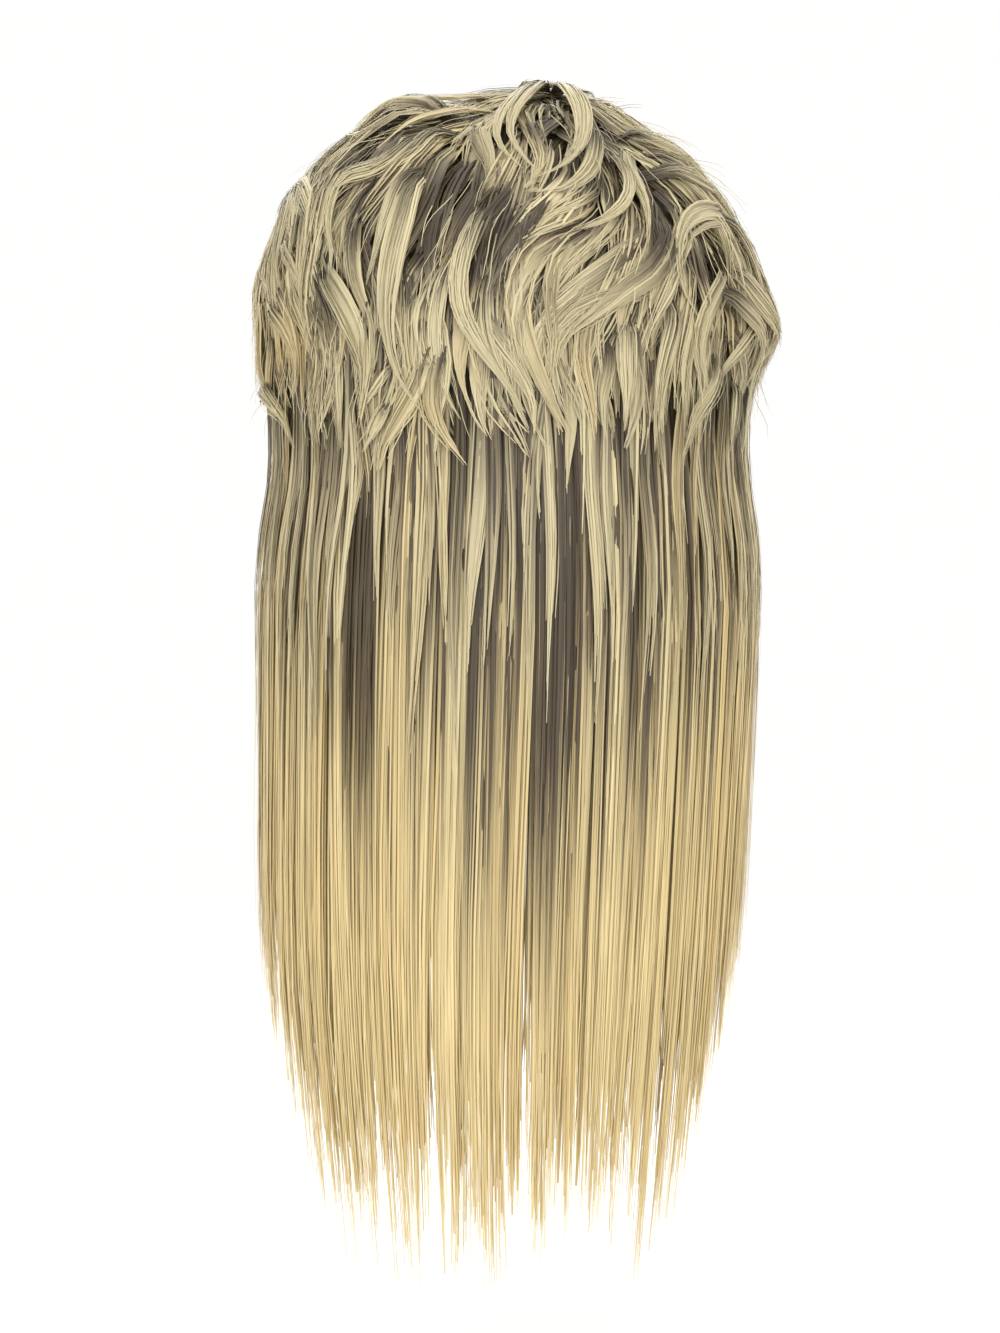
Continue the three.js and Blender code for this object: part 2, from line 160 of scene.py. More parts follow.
def guideMesh(name, guides):
    mesh = bpy.data.meshes.new(name)
    edges = []
    first = 0
    for guide in guides:
        count = len(guide["points"])
        edges += [(first + step, first + step + 1) for step in range(count - 1)]
        first += count
    points = np.concatenate([guide["points"] for guide in guides])
    mesh.from_pydata(points.tolist(), edges, [])
    for label in ("outDir", "acrossDir"):
        attribute = mesh.attributes.new(label, "FLOAT_VECTOR", "POINT")
        values = np.concatenate([guide[label] for guide in guides])
        attribute.data.foreach_set("vector", values.astype(np.float32).ravel())
    for label in ("halfWidth", "halfDepth", "spread", "along", "fade", "tone", "warm"):
        attribute = mesh.attributes.new(label, "FLOAT", "POINT")
        values = np.concatenate([guide[label] for guide in guides])
        attribute.data.foreach_set("value", values.astype(np.float32))
    return mesh


# A value in a node tree, so that sums of nodes read as sums
class Field:
    def __init__(self, tree, socket):
        self.tree = tree
        self.socket = socket

    def __add__(self, other):
        return calc(self.tree, "ADD", self, other)

    def __radd__(self, other):
        return calc(self.tree, "ADD", other, self)

    def __sub__(self, other):
        return calc(self.tree, "SUBTRACT", self, other)

    def __rsub__(self, other):
        return calc(self.tree, "SUBTRACT", other, self)

    def __mul__(self, other):
        return calc(self.tree, "MULTIPLY", self, other)

    def __rmul__(self, other):
        return calc(self.tree, "MULTIPLY", other, self)

    def __truediv__(self, other):
        return calc(self.tree, "DIVIDE", self, other)

    def __pow__(self, other):
        return calc(self.tree, "POWER", self, other)


def join(tree, value, socket):
    if isinstance(value, Field):
        value = value.socket
    if isinstance(value, bpy.types.NodeSocket):
        tree.links.new(value, socket)
    else:
        socket.default_value = value


def addNode(tree, kind, inputs=None, **settings):
    node = tree.nodes.new(kind)
    for key, value in settings.items():
        setattr(node, key, value)
    for key, value in (inputs or {}).items():
        join(tree, value, node.inputs[key])
    return node


def calc(tree, operation, *values):
    return Field(tree, addNode(tree, "ShaderNodeMath", dict(enumerate(values)), operation=operation).outputs[0])


def calcVector(tree, operation, *values):
    return addNode(tree, "ShaderNodeVectorMath", dict(enumerate(values)), operation=operation).outputs[0]


def scaled(tree, vector, scale):
    return addNode(tree, "ShaderNodeVectorMath", {0: vector, "Scale": scale}, operation="SCALE").outputs[0]


def combine(tree, x, y, z):
    return addNode(tree, "ShaderNodeCombineXYZ", {0: x, 1: y, 2: z}).outputs[0]


def ramp(tree, value, low, high, start=0.0, end=1.0, easing="SMOOTHSTEP"):
    inputs = {0: value, 1: low, 2: high, 3: start, 4: end}
    return Field(tree, addNode(tree, "ShaderNodeMapRange", inputs, interpolation_type=easing).outputs[0])


def noiseNode(tree, vector, scale, detail):
    return addNode(tree, "ShaderNodeTexNoise", {"Vector": vector, "Scale": scale, "Detail": detail})


def blend(tree, share, a, b):
    return addNode(tree, "ShaderNodeMix", {0: share, 6: a, 7: b}, data_type="RGBA").outputs[2]


def groupInputs(tree):
    sockets = tree.nodes.new("NodeGroupInput").outputs
    return {socket.name: Field(tree, socket) for socket in sockets if socket.name}


def named(tree, label, kind="FLOAT"):
    node = addNode(tree, "GeometryNodeInputNamedAttribute", {"Name": label}, data_type=kind)
    return Field(tree, node.outputs[0])


def moved(tree, geometry, offset):
    return addNode(tree, "GeometryNodeSetPosition", {"Geometry": geometry, "Offset": offset}).outputs[0]


def copied(tree, geometry, amount):
    inputs = {"Geometry": geometry, "Amount": amount}
    return addNode(tree, "GeometryNodeDuplicateElements", inputs, domain="SPLINE").outputs[0]


# Keeps each value as it is at this place of the tree
def captured(tree, geometry, values, domain):
    node = addNode(tree, "GeometryNodeCaptureAttribute", {"Geometry": geometry}, domain=domain)
    for label, value in values.items():
        node.capture_items.new("FLOAT", label)
        join(tree, value, node.inputs[label])
    return node.outputs["Geometry"], [Field(tree, node.outputs[label]) for label in values]


def stored(tree, geometry, label, value, kind="FLOAT", domain="POINT"):
    inputs = {"Geometry": geometry, "Name": label, "Value": value}
    return addNode(tree, "GeometryNodeStoreNamedAttribute", inputs, data_type=kind, domain=domain).outputs[0]


# Random numbers that stay the same all along a strand: one output for each name
def drawnForEach(tree, geometry, seed, labels):
    index = addNode(tree, "GeometryNodeInputIndex").outputs[0]
    draws = {}
    for number, label in enumerate(labels):
        inputs = {"ID": index, "Seed": seed + number}
        draws[label] = addNode(tree, "FunctionNodeRandomValue", inputs, data_type="FLOAT").outputs[1]
    return captured(tree, geometry, draws, "CURVE")


# Where a strand lies in its lock's section: a shift across and a shift outward
def sectionShift(tree, angle, reach, across, outward, evenness=0.5):
    turn = angle * (2 * math.pi)
    away = reach**evenness
    side = calc(tree, "COSINE", turn) * away * across
    out = calc(tree, "SINE", turn) * away * outward
    return calcVector(
        tree, "ADD",
        scaled(tree, named(tree, "acrossDir", "FLOAT_VECTOR"), side),
        scaled(tree, named(tree, "outDir", "FLOAT_VECTOR"), out),
    )


strandInputs = {
    "Tufts": ("NodeSocketInt", 5),
    "Strands": ("NodeSocketInt", 6),
    "Tuft Size": ("NodeSocketFloat", 0.0012),
    "Frizz": ("NodeSocketFloat", 0.001),
    "Frizz Detail": ("NodeSocketFloat", 28.0),
    "Edge": ("NodeSocketFloat", 0.7),
    "Ragged": ("NodeSocketFloat", 0.2),
    "Points": ("NodeSocketInt", 12),
    "Width": ("NodeSocketFloat", 0.0012),
    "Flatness": ("NodeSocketFloat", 0.4),
    "Tip Width": ("NodeSocketFloat", 0.3),
    "Body Share": ("NodeSocketFloat", 0.0),
    "Tone Spread": ("NodeSocketFloat", 0.45),
    "Roundness": ("NodeSocketFloat", 0.6),
    "Seed": ("NodeSocketInt", 1),
    "Material": ("NodeSocketMaterial", None),
}


# Every guide line becomes some tufts, every tuft some strands, and every strand a thin closed ribbon
def strandTree():
    tree = bpy.data.node_groups.new("combedStrands", "GeometryNodeTree")
    tree.interface.new_socket("Geometry", in_out="INPUT", socket_type="NodeSocketGeometry")
    tree.interface.new_socket("Geometry", in_out="OUTPUT", socket_type="NodeSocketGeometry")
    for label, (kind, value) in strandInputs.items():
        socket = tree.interface.new_socket(label, in_out="INPUT", socket_type=kind)
        if value is not None:
            socket.default_value = value
    given = groupInputs(tree)
    index = addNode(tree, "GeometryNodeInputIndex").outputs[0]
    halfWidth = named(tree, "halfWidth")
    curves = addNode(tree, "GeometryNodeMeshToCurve", {"Mesh": given["Geometry"]}).outputs[0]
    tufts, (tuftAngle, tuftReach, tuftTone, tuftShort) = drawnForEach(
        tree, copied(tree, curves, given["Tufts"]), given["Seed"],
        ["tuftAngle", "tuftReach", "tuftTone", "tuftShort"],
    )
    shift = sectionShift(tree, tuftAngle, tuftReach, halfWidth, named(tree, "halfDepth"), given["Edge"])
    placed = moved(tree, tufts, shift)
    strands, (angle, reach, tone, short, key, stray) = drawnForEach(
        tree, copied(tree, placed, given["Strands"]), given["Seed"] + 10,
        ["strandAngle", "strandReach", "strandTone", "strandShort", "strandKey", "strandStray"],
    )
    # A few strands stray outside their tuft
    size = given["Tuft Size"] * named(tree, "spread") * (1.0 + 1.2 * stray**8.0)
    shift = sectionShift(tree, angle, reach, size, size)
    place = addNode(tree, "GeometryNodeInputPosition").outputs[0]
    ownPlace = combine(tree, key * 91.0, stray * 57.0, 0.0)
    sampled = calcVector(tree, "ADD", scaled(tree, place, given["Frizz Detail"]), ownPlace)
    noise = noiseNode(tree, sampled, 1.0, 1.0).outputs["Color"]
    wobble = calcVector(tree, "SUBTRACT", noise, (0.5, 0.5, 0.5))
    wobble = scaled(tree, wobble, given["Frizz"] * 4.0 * named(tree, "along"))
    loose = moved(tree, strands, calcVector(tree, "ADD", shift, wobble))
    # Strands and tufts of uneven length
    cut = tuftShort**1.6 * 0.65 + short**2.0 * 0.35
    inputs = {"Curve": loose, "End": 1.0 - given["Ragged"] * cut}
    trimmed = addNode(tree, "GeometryNodeTrimCurve", inputs, mode="FACTOR").outputs[0]
    inputs = {"Curve": trimmed, "Count": given["Points"]}
    even = addNode(tree, "GeometryNodeResampleCurve", inputs, mode="COUNT").outputs[0]
    factor = Field(tree, addNode(tree, "GeometryNodeSplineParameter").outputs["Factor"])
    even, (upStrand,) = captured(tree, even, {"factor": factor}, "POINT")
    even, (order,) = captured(tree, even, {"order": index}, "CURVE")
    slim = 1.0 - (1.0 - given["Tip Width"]) * factor**2.5
    width = given["Width"] * 0.5 * (slim * (0.65 + 0.7 * key))
    # A body ribbon is as broad as its lock instead
    width = calc(tree, "MAXIMUM", width, given["Body Share"] * halfWidth * slim)
    # The section: a flat triangle, broad side on the hair, with its place across the strand at each corner
    ring = addNode(tree, "GeometryNodeCurvePrimitiveCircle", {"Resolution": 3, "Radius": 1.0}).outputs[0]
    onSide = calc(tree, "COMPARE", index, 1.0, 0.5)
    onFarSide = calc(tree, "COMPARE", index, 2.0, 0.5)
    sidePlace = onFarSide - onSide
    corner = combine(tree, (1.0 - (onSide + onFarSide)) * given["Flatness"], sidePlace, 0.0)
    flat = addNode(tree, "GeometryNodeSetPosition", {"Geometry": ring, "Position": corner}).outputs[0]
    section, (rim,) = captured(tree, flat, {"rim": sidePlace * 0.5 + 0.5}, "POINT")
    # Strands at a lock's sides turn sideways, so that the lock looks round
    sideShare = calc(tree, "COSINE", tuftAngle * (2 * math.pi)) * tuftReach ** given["Edge"]
    sideways = scaled(tree, named(tree, "acrossDir", "FLOAT_VECTOR"), sideShare * given["Roundness"])
    turned = calcVector(tree, "ADD", named(tree, "outDir", "FLOAT_VECTOR"), sideways)
    facing = addNode(tree, "GeometryNodeSetCurveNormal", {"Curve": even, "Normal": turned}, mode="FREE")
    whole = addNode(
        tree, "GeometryNodeCurveToMesh",
        {"Curve": facing.outputs[0], "Profile Curve": section, "Scale": width, "Fill Caps": True},
    ).outputs[0]
    # The strand's own shade: its lock's, its tuft's and a little of its own
    ownTone = (tone - 0.5) * 0.45 + (tuftTone - 0.5)
    shade = named(tree, "tone") + ownTone * given["Tone Spread"]
    for label, value in (("shade", shade), ("strand", tone), ("rim", rim)):
        whole = stored(tree, whole, label, value)
    # Each strand has an upright strip of its own on the map, in eight bands of strips
    bands = 8.0
    counted = addNode(tree, "GeometryNodeAttributeDomainSize", {"Geometry": even}, component="CURVE")
    inBand = calc(tree, "CEIL", Field(tree, counted.outputs["Spline Count"]) / bands)
    band = calc(tree, "FLOOR", (order + 0.5) / inBand)
    u = (calc(tree, "MODULO", order, inBand) + (rim * 0.8 + 0.1)) / inBand
    v = (band + (upStrand * 0.96 + 0.02)) / bands
    whole = stored(tree, whole, "OFBake", combine(tree, u, v, 0.0), "FLOAT2", "CORNER")
    # Smooth over the top, sharp along both sides
    onEdge = calc(tree, "GREATER_THAN", calc(tree, "ABSOLUTE", named(tree, "rim") - 0.5), 0.4)
    whole = addNode(tree, "GeometryNodeSetShadeSmooth", {"Geometry": whole}).outputs[0]
    inputs = {"Geometry": whole, "Selection": onEdge, "Shade Smooth": False}
    whole = addNode(tree, "GeometryNodeSetShadeSmooth", inputs, domain="EDGE").outputs[0]
    whole = addNode(tree, "GeometryNodeRealizeInstances", {"Geometry": whole}).outputs[0]
    inputs = {"Geometry": whole, "Material": given["Material"]}
    dressed = addNode(tree, "GeometryNodeSetMaterial", inputs).outputs[0]
    tree.links.new(dressed, tree.nodes.new("NodeGroupOutput").inputs[0])
    return tree


combedStrands = strandTree()
inputNames = {
    item.name: item.identifier
    for item in combedStrands.interface.items_tree
    if item.item_type == "SOCKET" and item.in_out == "INPUT"
}
keptAttributes = {"fade", "shade", "warm", "strand", "rim", "OFBake"}
seen = {"triangles": 0}


# Combs strands along the guides and leaves them as a plain mesh piece
def combHair(name, guides, look, material, nodes=()):
    source = bpy.data.objects.new(name + "Guides", guideMesh(name + "Guides", guides))
    scene.collection.objects.link(source)
    modifier = source.modifiers.new("strands", "NODES")
    modifier.node_group = combedStrands
    for label, value in look.items():
        modifier[inputNames[label]] = value
    modifier[inputNames["Material"]] = material
    bpy.context.view_layer.update()
    graph = bpy.context.evaluated_depsgraph_get()
    mesh = bpy.data.meshes.new_from_object(source.evaluated_get(graph))
    source.modifiers.remove(modifier)
    bpy.data.objects.remove(source)
    for label in [attribute.name for attribute in mesh.attributes]:
        attribute = mesh.attributes[label]
        if not attribute.is_internal and not attribute.is_required and label not in keptAttributes:
            if label not in ("sharp_face", "sharp_edge", "material_index"):
                mesh.attributes.remove(attribute)
    mesh.name = name
    piece = bpy.data.objects.new(name, mesh)
    scene.collection.objects.link(piece)
    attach(piece, "root")
    if nodes:
        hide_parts(*nodes)
    triangles = sum(len(face.vertices) - 2 for face in mesh.polygons)
    seen["triangles"] += triangles
    print(f"{name}: {len(guides)} locks, {triangles} triangles")
    return piece


# Colours and finishes
def tint(red, green, blue):
    return (*(((value / 255 + 0.055) / 1.055) ** 2.4 for value in (red, green, blue)), 1.0)


strandValues = ("Fade", "Shade", "Warm", "Strand", "Rim")


# Shared effect: the colour of a strand from its dark root to its light end
def strandColourGroup():
    group = bpy.data.node_groups.new("strandColour", "ShaderNodeTree")
    for label in ("Root", "Middle", "Length", "Tip", "Gold"):
        group.interface.new_socket(label, in_out="INPUT", socket_type="NodeSocketColor")
    for label in ("Dark Reach", "Softness", "Tip Start", "Tip End", "Streaks", "Fibres", *strandValues):
        group.interface.new_socket(label, in_out="INPUT", socket_type="NodeSocketFloat")
    group.interface.new_socket("Colour", in_out="OUTPUT", socket_type="NodeSocketColor")
    for label in ("Roughness", "Height"):
        group.interface.new_socket(label, in_out="OUTPUT", socket_type="NodeSocketFloat")
    given = groupInputs(group)
    # Fine fibres that run along each strand, and give the dark part an uneven end
    fibre = combine(group, given["Rim"] * given["Fibres"], given["Fade"] * 5.0, given["Strand"] * 173.0)
    noise = Field(group, noiseNode(group, fibre, 1.0, 2.0).outputs["Fac"])
    dark = 1.0 - calc(group, "MAXIMUM", given["Shade"], 0.12)
    start = given["Dark Reach"] * dark - 0.35 + noise * 0.5
    light = ramp(group, given["Fade"], start, start + given["Softness"])
    tip = ramp(group, given["Fade"], given["Tip Start"], given["Tip End"])
    pale = ramp(group, given["Shade"], 0.1, 0.95)
    # Strands with a shade below 0.1 grow darker towards the root colour: painted shade for strands in the
    # hollows, and a darker tone for the darkest strands elsewhere
    clearOfShadeAndDarkTone = ramp(group, given["Shade"], -0.6, 0.1)
    colour = blend(group, pale, given["Middle"], given["Length"])
    colour = blend(group, clearOfShadeAndDarkTone, given["Root"], colour)
    colour = blend(group, light, given["Root"], blend(group, tip, colour, given["Tip"]))
    golden = light * calc(group, "MINIMUM", given["Warm"], 0.6)
    colour = blend(group, golden, colour, given["Gold"])
    # Streaks are strong at the roots and calm towards the ends
    uneven = (noise - 0.5) * 1.8 + (given["Strand"] - 0.5) * 0.35
    strength = given["Streaks"] * calc(group, "MAXIMUM", 1.1 - given["Fade"], 0.3) * 1.3
    bright = 1.0 + uneven * strength
    colour = addNode(group, "ShaderNodeHueSaturation", {"Value": bright, "Color": colour}).outputs[0]
    rough = ramp(group, noise, 0.3, 0.7, 0.36, 0.52, "LINEAR")
    out = group.nodes.new("NodeGroupOutput")
    for label, value in (("Colour", colour), ("Roughness", rough), ("Height", noise)):
        join(group, value, out.inputs[label])
    return group


strandColour = strandColourGroup()


def hairMaterial(name, finish, fibres=3.2, streaks=0.3):
    material = bpy.data.materials.new(name)
    material.use_nodes = True
    tree = material.node_tree
    shader = tree.nodes["Principled BSDF"]
    shader.inputs["Specular IOR Level"].default_value = finish["gloss"]
    shader.inputs["Sheen Weight"].default_value = 0.45
    shader.inputs["Sheen Roughness"].default_value = 0.5
    shader.inputs["Sheen Tint"].default_value = finish["tip"]
    group = addNode(tree, "ShaderNodeGroup", node_tree=strandColour)
    for label in ("Root", "Middle", "Length", "Tip", "Gold"):
        group.inputs[label].default_value = finish[label.lower()]
    group.inputs["Dark Reach"].default_value = finish["darkReach"]
    group.inputs["Softness"].default_value = finish["softness"]
    group.inputs["Tip Start"].default_value = finish["tipRange"][0]
    group.inputs["Tip End"].default_value = finish["tipRange"][1]
    group.inputs["Streaks"].default_value = streaks
    group.inputs["Fibres"].default_value = fibres
    for label in strandValues:
        reader = addNode(tree, "ShaderNodeAttribute", attribute_name=label.lower(), attribute_type="GEOMETRY")
        tree.links.new(reader.outputs["Fac"], group.inputs[label])
    tree.links.new(group.outputs["Colour"], shader.inputs["Base Color"])
    tree.links.new(group.outputs["Roughness"], shader.inputs["Roughness"])
    inputs = {"Height": group.outputs["Height"], "Strength": 0.4, "Distance": 0.0003}
    tree.links.new(addNode(tree, "ShaderNodeBump", inputs).outputs[0], shader.inputs["Normal"])
    return material


crownFinish = {
    "root": tint(54, 43, 29),
    "middle": tint(152, 139, 107),
    "length": tint(186, 174, 137),
    "tip": tint(189, 177, 141),
    "gold": tint(188, 160, 100),
    "darkReach": 0.62,
    "softness": 0.5,
    "tipRange": (0.5, 1.2),
    "gloss": 0.4,
}
longFinish = {
    "root": tint(64, 52, 36),
    "middle": tint(148, 132, 95),
    "length": tint(178, 165, 126),
    "tip": tint(202, 181, 130),
    "gold": tint(190, 161, 100),
    "darkReach": 0.63,
    "softness": 0.27,
    "tipRange": (0.3, 0.75),
    "gloss": 0.4,
}
crownMaterial = hairMaterial("crownHairFinish", crownFinish)
longMaterial = hairMaterial("longHairFinish", longFinish, 3.2, 0.7)
# The same colours with finer fibres, for the broad ribbons that fill out the locks
crownBodyMaterial = hairMaterial("crownBodyFinish", crownFinish, 14.0, 0.9)
crownRootMaterial = hairMaterial("crownRootFinish", crownFinish, 3.2, 1.0)
longBodyMaterial = hairMaterial("longBodyFinish", longFinish, 10.0, 0.9)
bodyLook = {
    "Tufts": 1, "Strands": 1, "Tuft Size": 0.0, "Frizz": 0.0, "Frizz Detail": 10.0, "Edge": 20.0,
    "Ragged": 0.12, "Width": 0.0004, "Flatness": 0.16, "Tip Width": 0.1, "Body Share": 0.75,
    "Tone Spread": 0.2, "Seed": 5,
}


# The same guides, a little further in, for the ribbons under the strands
def sunkGuides(guides, inset):
    return [dict(guide, points=guide["points"] - inset * guide["outDir"]) for guide in guides]


# A main lock: its width, its tone, and its line from root to tip in shares across and down
def lock(width, tone, *path, **form):
    return {"width": width, "tone": tone, "path": path, **form}


# Main locks over the back of the crown, listed one by one as seen from behind
mainLocks = {
    "lift": 0.0010,
    "rootDepth": 0.008,
    "halfWidth": 0.0066,
    "halfDepth": 0.0009,
    "rows": [
        lock(0.8, 0.75, (0.15, 0.151), (0.281, 0.185), (0.373, 0.253), (0.515, 0.307), (0.627, 0.341)),
        lock(1.1, 0.95, (0.231, 0.222), (0.35, 0.307), (0.408, 0.432), (0.45, 0.56), (0.462, 0.685),
             (0.446, 0.773), (0.396, 0.869), (0.319, 0.949)),
        lock(0.7, 0.85, (0.2, 0.489), (0.269, 0.608), (0.292, 0.736), (0.269, 0.852), (0.181, 0.977)),
        lock(0.7, 0.9, (0.069, 0.33), (0.142, 0.449), (0.192, 0.568), (0.188, 0.659), (0.123, 0.761),
             (0.038, 0.847), (-0.054, 0.949)),
        lock(0.6, 0.75, (0.062, 0.523), (0.085, 0.631), (0.081, 0.716), (0.05, 0.801), (-0.008, 0.892),
             (-0.054, 0.949)),
        lock(0.6, 0.9, (-0.165, 0.011), (-0.05, 0.071), (0.027, 0.139), (0.05, 0.196), (0.027, 0.241),
             (-0.05, 0.295), bulge=0.002, rise=0.12, rootDepth=0.0015),
        lock(0.5, 0.7, (-0.15, 0.03), (-0.06, 0.09), (-0.01, 0.15), (0.0, 0.2), (-0.03, 0.25), (-0.09, 0.3),
             bulge=0.001, rise=0.12, rootDepth=0.0015),
        lock(0.7, 0.75, (-0.3, 0.14), (-0.31, 0.22), (-0.27, 0.3), (-0.17, 0.35), (-0.04, 0.35), rise=0.15),
        lock(0.9, 0.9, (-0.177, 0.023), (-0.235, 0.085), (-0.27, 0.168), (-0.255, 0.235), (-0.175, 0.295),
             (-0.05, 0.327), bulge=0.003, rise=0.12, rootDepth=0.0015),
        lock(0.5, 0.9, (-0.296, 0.205), (-0.419, 0.273), (-0.431, 0.364), (-0.335, 0.432), (-0.231, 0.46)),
        lock(1.0, 0.6, (-0.531, 0.347), (-0.5, 0.474), (-0.392, 0.545), (-0.25, 0.619), (-0.135, 0.693),
             (-0.1, 0.787), (-0.146, 0.915)),
        lock(1.0, 0.65, (-0.577, 0.347), (-0.585, 0.489), (-0.519, 0.574), (-0.419, 0.625), (-0.292, 0.699),
             (-0.204, 0.744), (-0.162, 0.835)),
        lock(1.1, 0.65, (-0.519, 0.307), (-0.55, 0.432), (-0.542, 0.54), (-0.477, 0.611), (-0.308, 0.648),
             (-0.192, 0.693), (-0.146, 0.759), (-0.15, 0.855), (-0.238, 1.014)),
        lock(1.1, 0.7, (-0.338, 0.361), (-0.254, 0.463), (-0.108, 0.514), (-0.042, 0.594), (-0.027, 0.676),
             (-0.065, 0.77), (-0.135, 0.901), (-0.227, 1.028), warm=0.15),
        lock(0.9, 0.8, (-0.512, 0.273), (-0.65, 0.281), (-0.742, 0.301), (-0.838, 0.335)),
        lock(0.9, 0.8, (-0.465, 0.185), (-0.446, 0.267), (-0.512, 0.389), (-0.5, 0.517)),
        lock(1.0, 0.95, (-0.9, 0.46), (-0.86, 0.41), (-0.79, 0.385), (-0.705, 0.395), (-0.635, 0.446),
             (-0.615, 0.523), (-0.63, 0.602), (-0.704, 0.699)),
        lock(1.0, 0.85, (-0.865, 0.523), (-0.777, 0.622), (-0.727, 0.705), (-0.708, 0.79), (-0.731, 0.866),
             (-0.696, 0.963), (-0.662, 1.045)),
        lock(1.1, 0.8, (-0.8, 0.5), (-0.87, 0.58), (-0.92, 0.67), (-0.94, 0.75), (-0.92, 0.82),
             bulge=0.003),
        lock(0.8, 0.75, (-0.76, 0.58), (-0.83, 0.64), (-0.885, 0.72), (-0.9, 0.8), (-0.88, 0.88),
             bulge=0.003),
        lock(0.5, 0.8, (-0.9, 0.6), (-0.89, 0.69), (-0.85, 0.77), (-0.79, 0.84), (-0.75, 0.92),
             bulge=0.002),
        lock(0.8, 0.8, (-0.8, 0.7), (-0.86, 0.78), (-0.88, 0.86), (-0.85, 0.94)),
        lock(0.5, 0.85, (-0.04, 0.04), (-0.11, 0.01), (-0.18, 0.0), (-0.26, 0.02), (-0.32, 0.08),
             bulge=0.0013, rise=0.1, rootDepth=0.002),
        lock(0.8, 0.8, (0.292, 0.097), (0.373, 0.114), (0.515, 0.17), (0.654, 0.19), (0.738, 0.227)),
        lock(0.9, 0.85, (0.327, 0.142), (0.354, 0.21), (0.469, 0.284), (0.615, 0.318), (0.669, 0.432),
             (0.654, 0.523), (0.665, 0.591)),
        lock(0.8, 0.7, (0.269, 0.247), (0.404, 0.318), (0.462, 0.42), (0.504, 0.534), (0.531, 0.602)),
        lock(1.1, 0.7, (0.692, 0.205), (0.808, 0.307), (0.865, 0.415), (0.888, 0.537), (0.846, 0.631)),
        lock(1.1, 0.8, (0.75, 0.523), (0.669, 0.585), (0.627, 0.634), (0.573, 0.716), (0.531, 0.818),
             (0.554, 0.943)),
        lock(0.9, 0.7, (0.788, 0.29), (0.746, 0.389), (0.723, 0.489), (0.762, 0.588)),
        lock(0.9, 0.6, (0.531, 0.332), (0.577, 0.46), (0.569, 0.588), (0.508, 0.716), (0.5, 0.835)),
        lock(0.6, 0.85, (0.969, 0.872), (0.923, 0.915), (0.865, 0.963), (0.812, 1.043)),
        lock(0.5, 0.8, (0.431, 0.801), (0.515, 0.889), (0.565, 0.949)),
        lock(0.6, 0.8, (0.438, 0.903), (0.488, 0.98), (0.538, 1.057)),
        lock(0.6, 0.8, (0.65, 0.716), (0.642, 0.889), (0.635, 1.057)),
        lock(0.7, 0.85, (-0.608, 0.588), (-0.612, 0.705), (-0.585, 0.79), (-0.558, 0.886), (-0.546, 1.006)),
        lock(0.8, 0.85, (-0.435, 0.648), (-0.431, 0.759), (-0.431, 0.866), (-0.415, 1)),
        lock(0.6, 0.7, (-0.558, 0.602), (-0.508, 0.693), (-0.477, 0.759), (-0.462, 0.892)),
        lock(0.8, 0.85, (-0.765, 0.724), (-0.769, 0.844), (-0.685, 0.963), (-0.638, 1.071)),
        lock(0.7, 0.8, (-0.858, 0.83), (-0.854, 0.943), (-0.831, 1.071)),
        lock(0.7, 0.75, (-0.346, 0.716), (-0.358, 0.815), (-0.335, 0.915), (-0.346, 1.028)),
        lock(0.5, 0.65, (0.92, 0.62), (0.88, 0.68), (0.83, 0.74), (0.8, 0.8), (0.8, 0.87), warm=0.4),
        lock(0.5, 0.7, (0.93, 0.7), (0.91, 0.77), (0.915, 0.84), (0.92, 0.9), (0.89, 0.96), warm=0.5),
        lock(0.35, 0.85, (0.9, 0.56), (0.85, 0.66), (0.81, 0.75), (0.8, 0.84), (0.82, 0.92), warm=0.3),
        lock(0.4, 0.75, (0.93, 0.8), (0.92, 0.87), (0.89, 0.92), (0.84, 0.98), (0.81, 1.05), warm=0.3),
        lock(0.9, 0.8, (0.22, 0.11), (0.33, 0.09), (0.44, 0.105), (0.54, 0.15), (0.61, 0.22), bulge=0.001),
        lock(0.9, 0.8, (-0.42, 0.16), (-0.55, 0.185), (-0.67, 0.23), (-0.78, 0.3), rise=0.15),
        lock(0.8, 0.75, (-0.52, 0.215), (-0.62, 0.24), (-0.73, 0.285), (-0.82, 0.355), rise=0.15),
        lock(0.9, 0.8, (-0.62, 0.24), (-0.72, 0.27), (-0.81, 0.33), (-0.87, 0.41), (-0.89, 0.49)),
        lock(0.9, 0.8, (-0.78, 0.36), (-0.86, 0.43), (-0.91, 0.52), (-0.92, 0.61), (-0.9, 0.68)),
        lock(0.8, 0.8, (0.8, 0.3), (0.88, 0.4), (0.94, 0.5), (0.93, 0.58), (0.88, 0.62)),
    ],
    "look": {
        "Tufts": 10, "Strands": 5, "Tuft Size": 0.0010, "Frizz": 0.0009, "Frizz Detail": 34.0, "Edge": 0.8,
        "Ragged": 0.36, "Width": 0.00068, "Flatness": 0.2, "Tip Width": 0.15, "Seed": 11,
    },
}


# Places where the hair stands further out, as seen from behind
swells = [
    {"side": 0.44, "down": 0.10, "size": 0.10, "height": 0.005},
    {"side": -0.22, "down": 0.04, "size": 0.12, "height": 0.002},
    {"side": 0.70, "down": 0.22, "size": 0.12, "height": 0.003},
    {"side": -0.54, "down": 0.15, "size": 0.10, "height": -0.0025},
    {"side": -0.78, "down": 0.33, "size": 0.10, "height": -0.0025},
    {"side": -0.93, "down": 0.52, "size": 0.07, "height": 0.001},
    {"side": -1.00, "down": 0.71, "size": 0.08, "height": 0.012},
    {"side": 0.80, "down": 0.33, "size": 0.08, "height": 0.002},
    {"side": 0.98, "down": 0.60, "size": 0.08, "height": 0.003},
    {"side": 1.00, "down": 0.82, "size": 0.07, "height": 0.004},
]


def seenFromBehind(points):
    return points[:, 0] / 0.1085, (head["topVolume"] + 0.0045 - points[:, 2]) / 0.1475


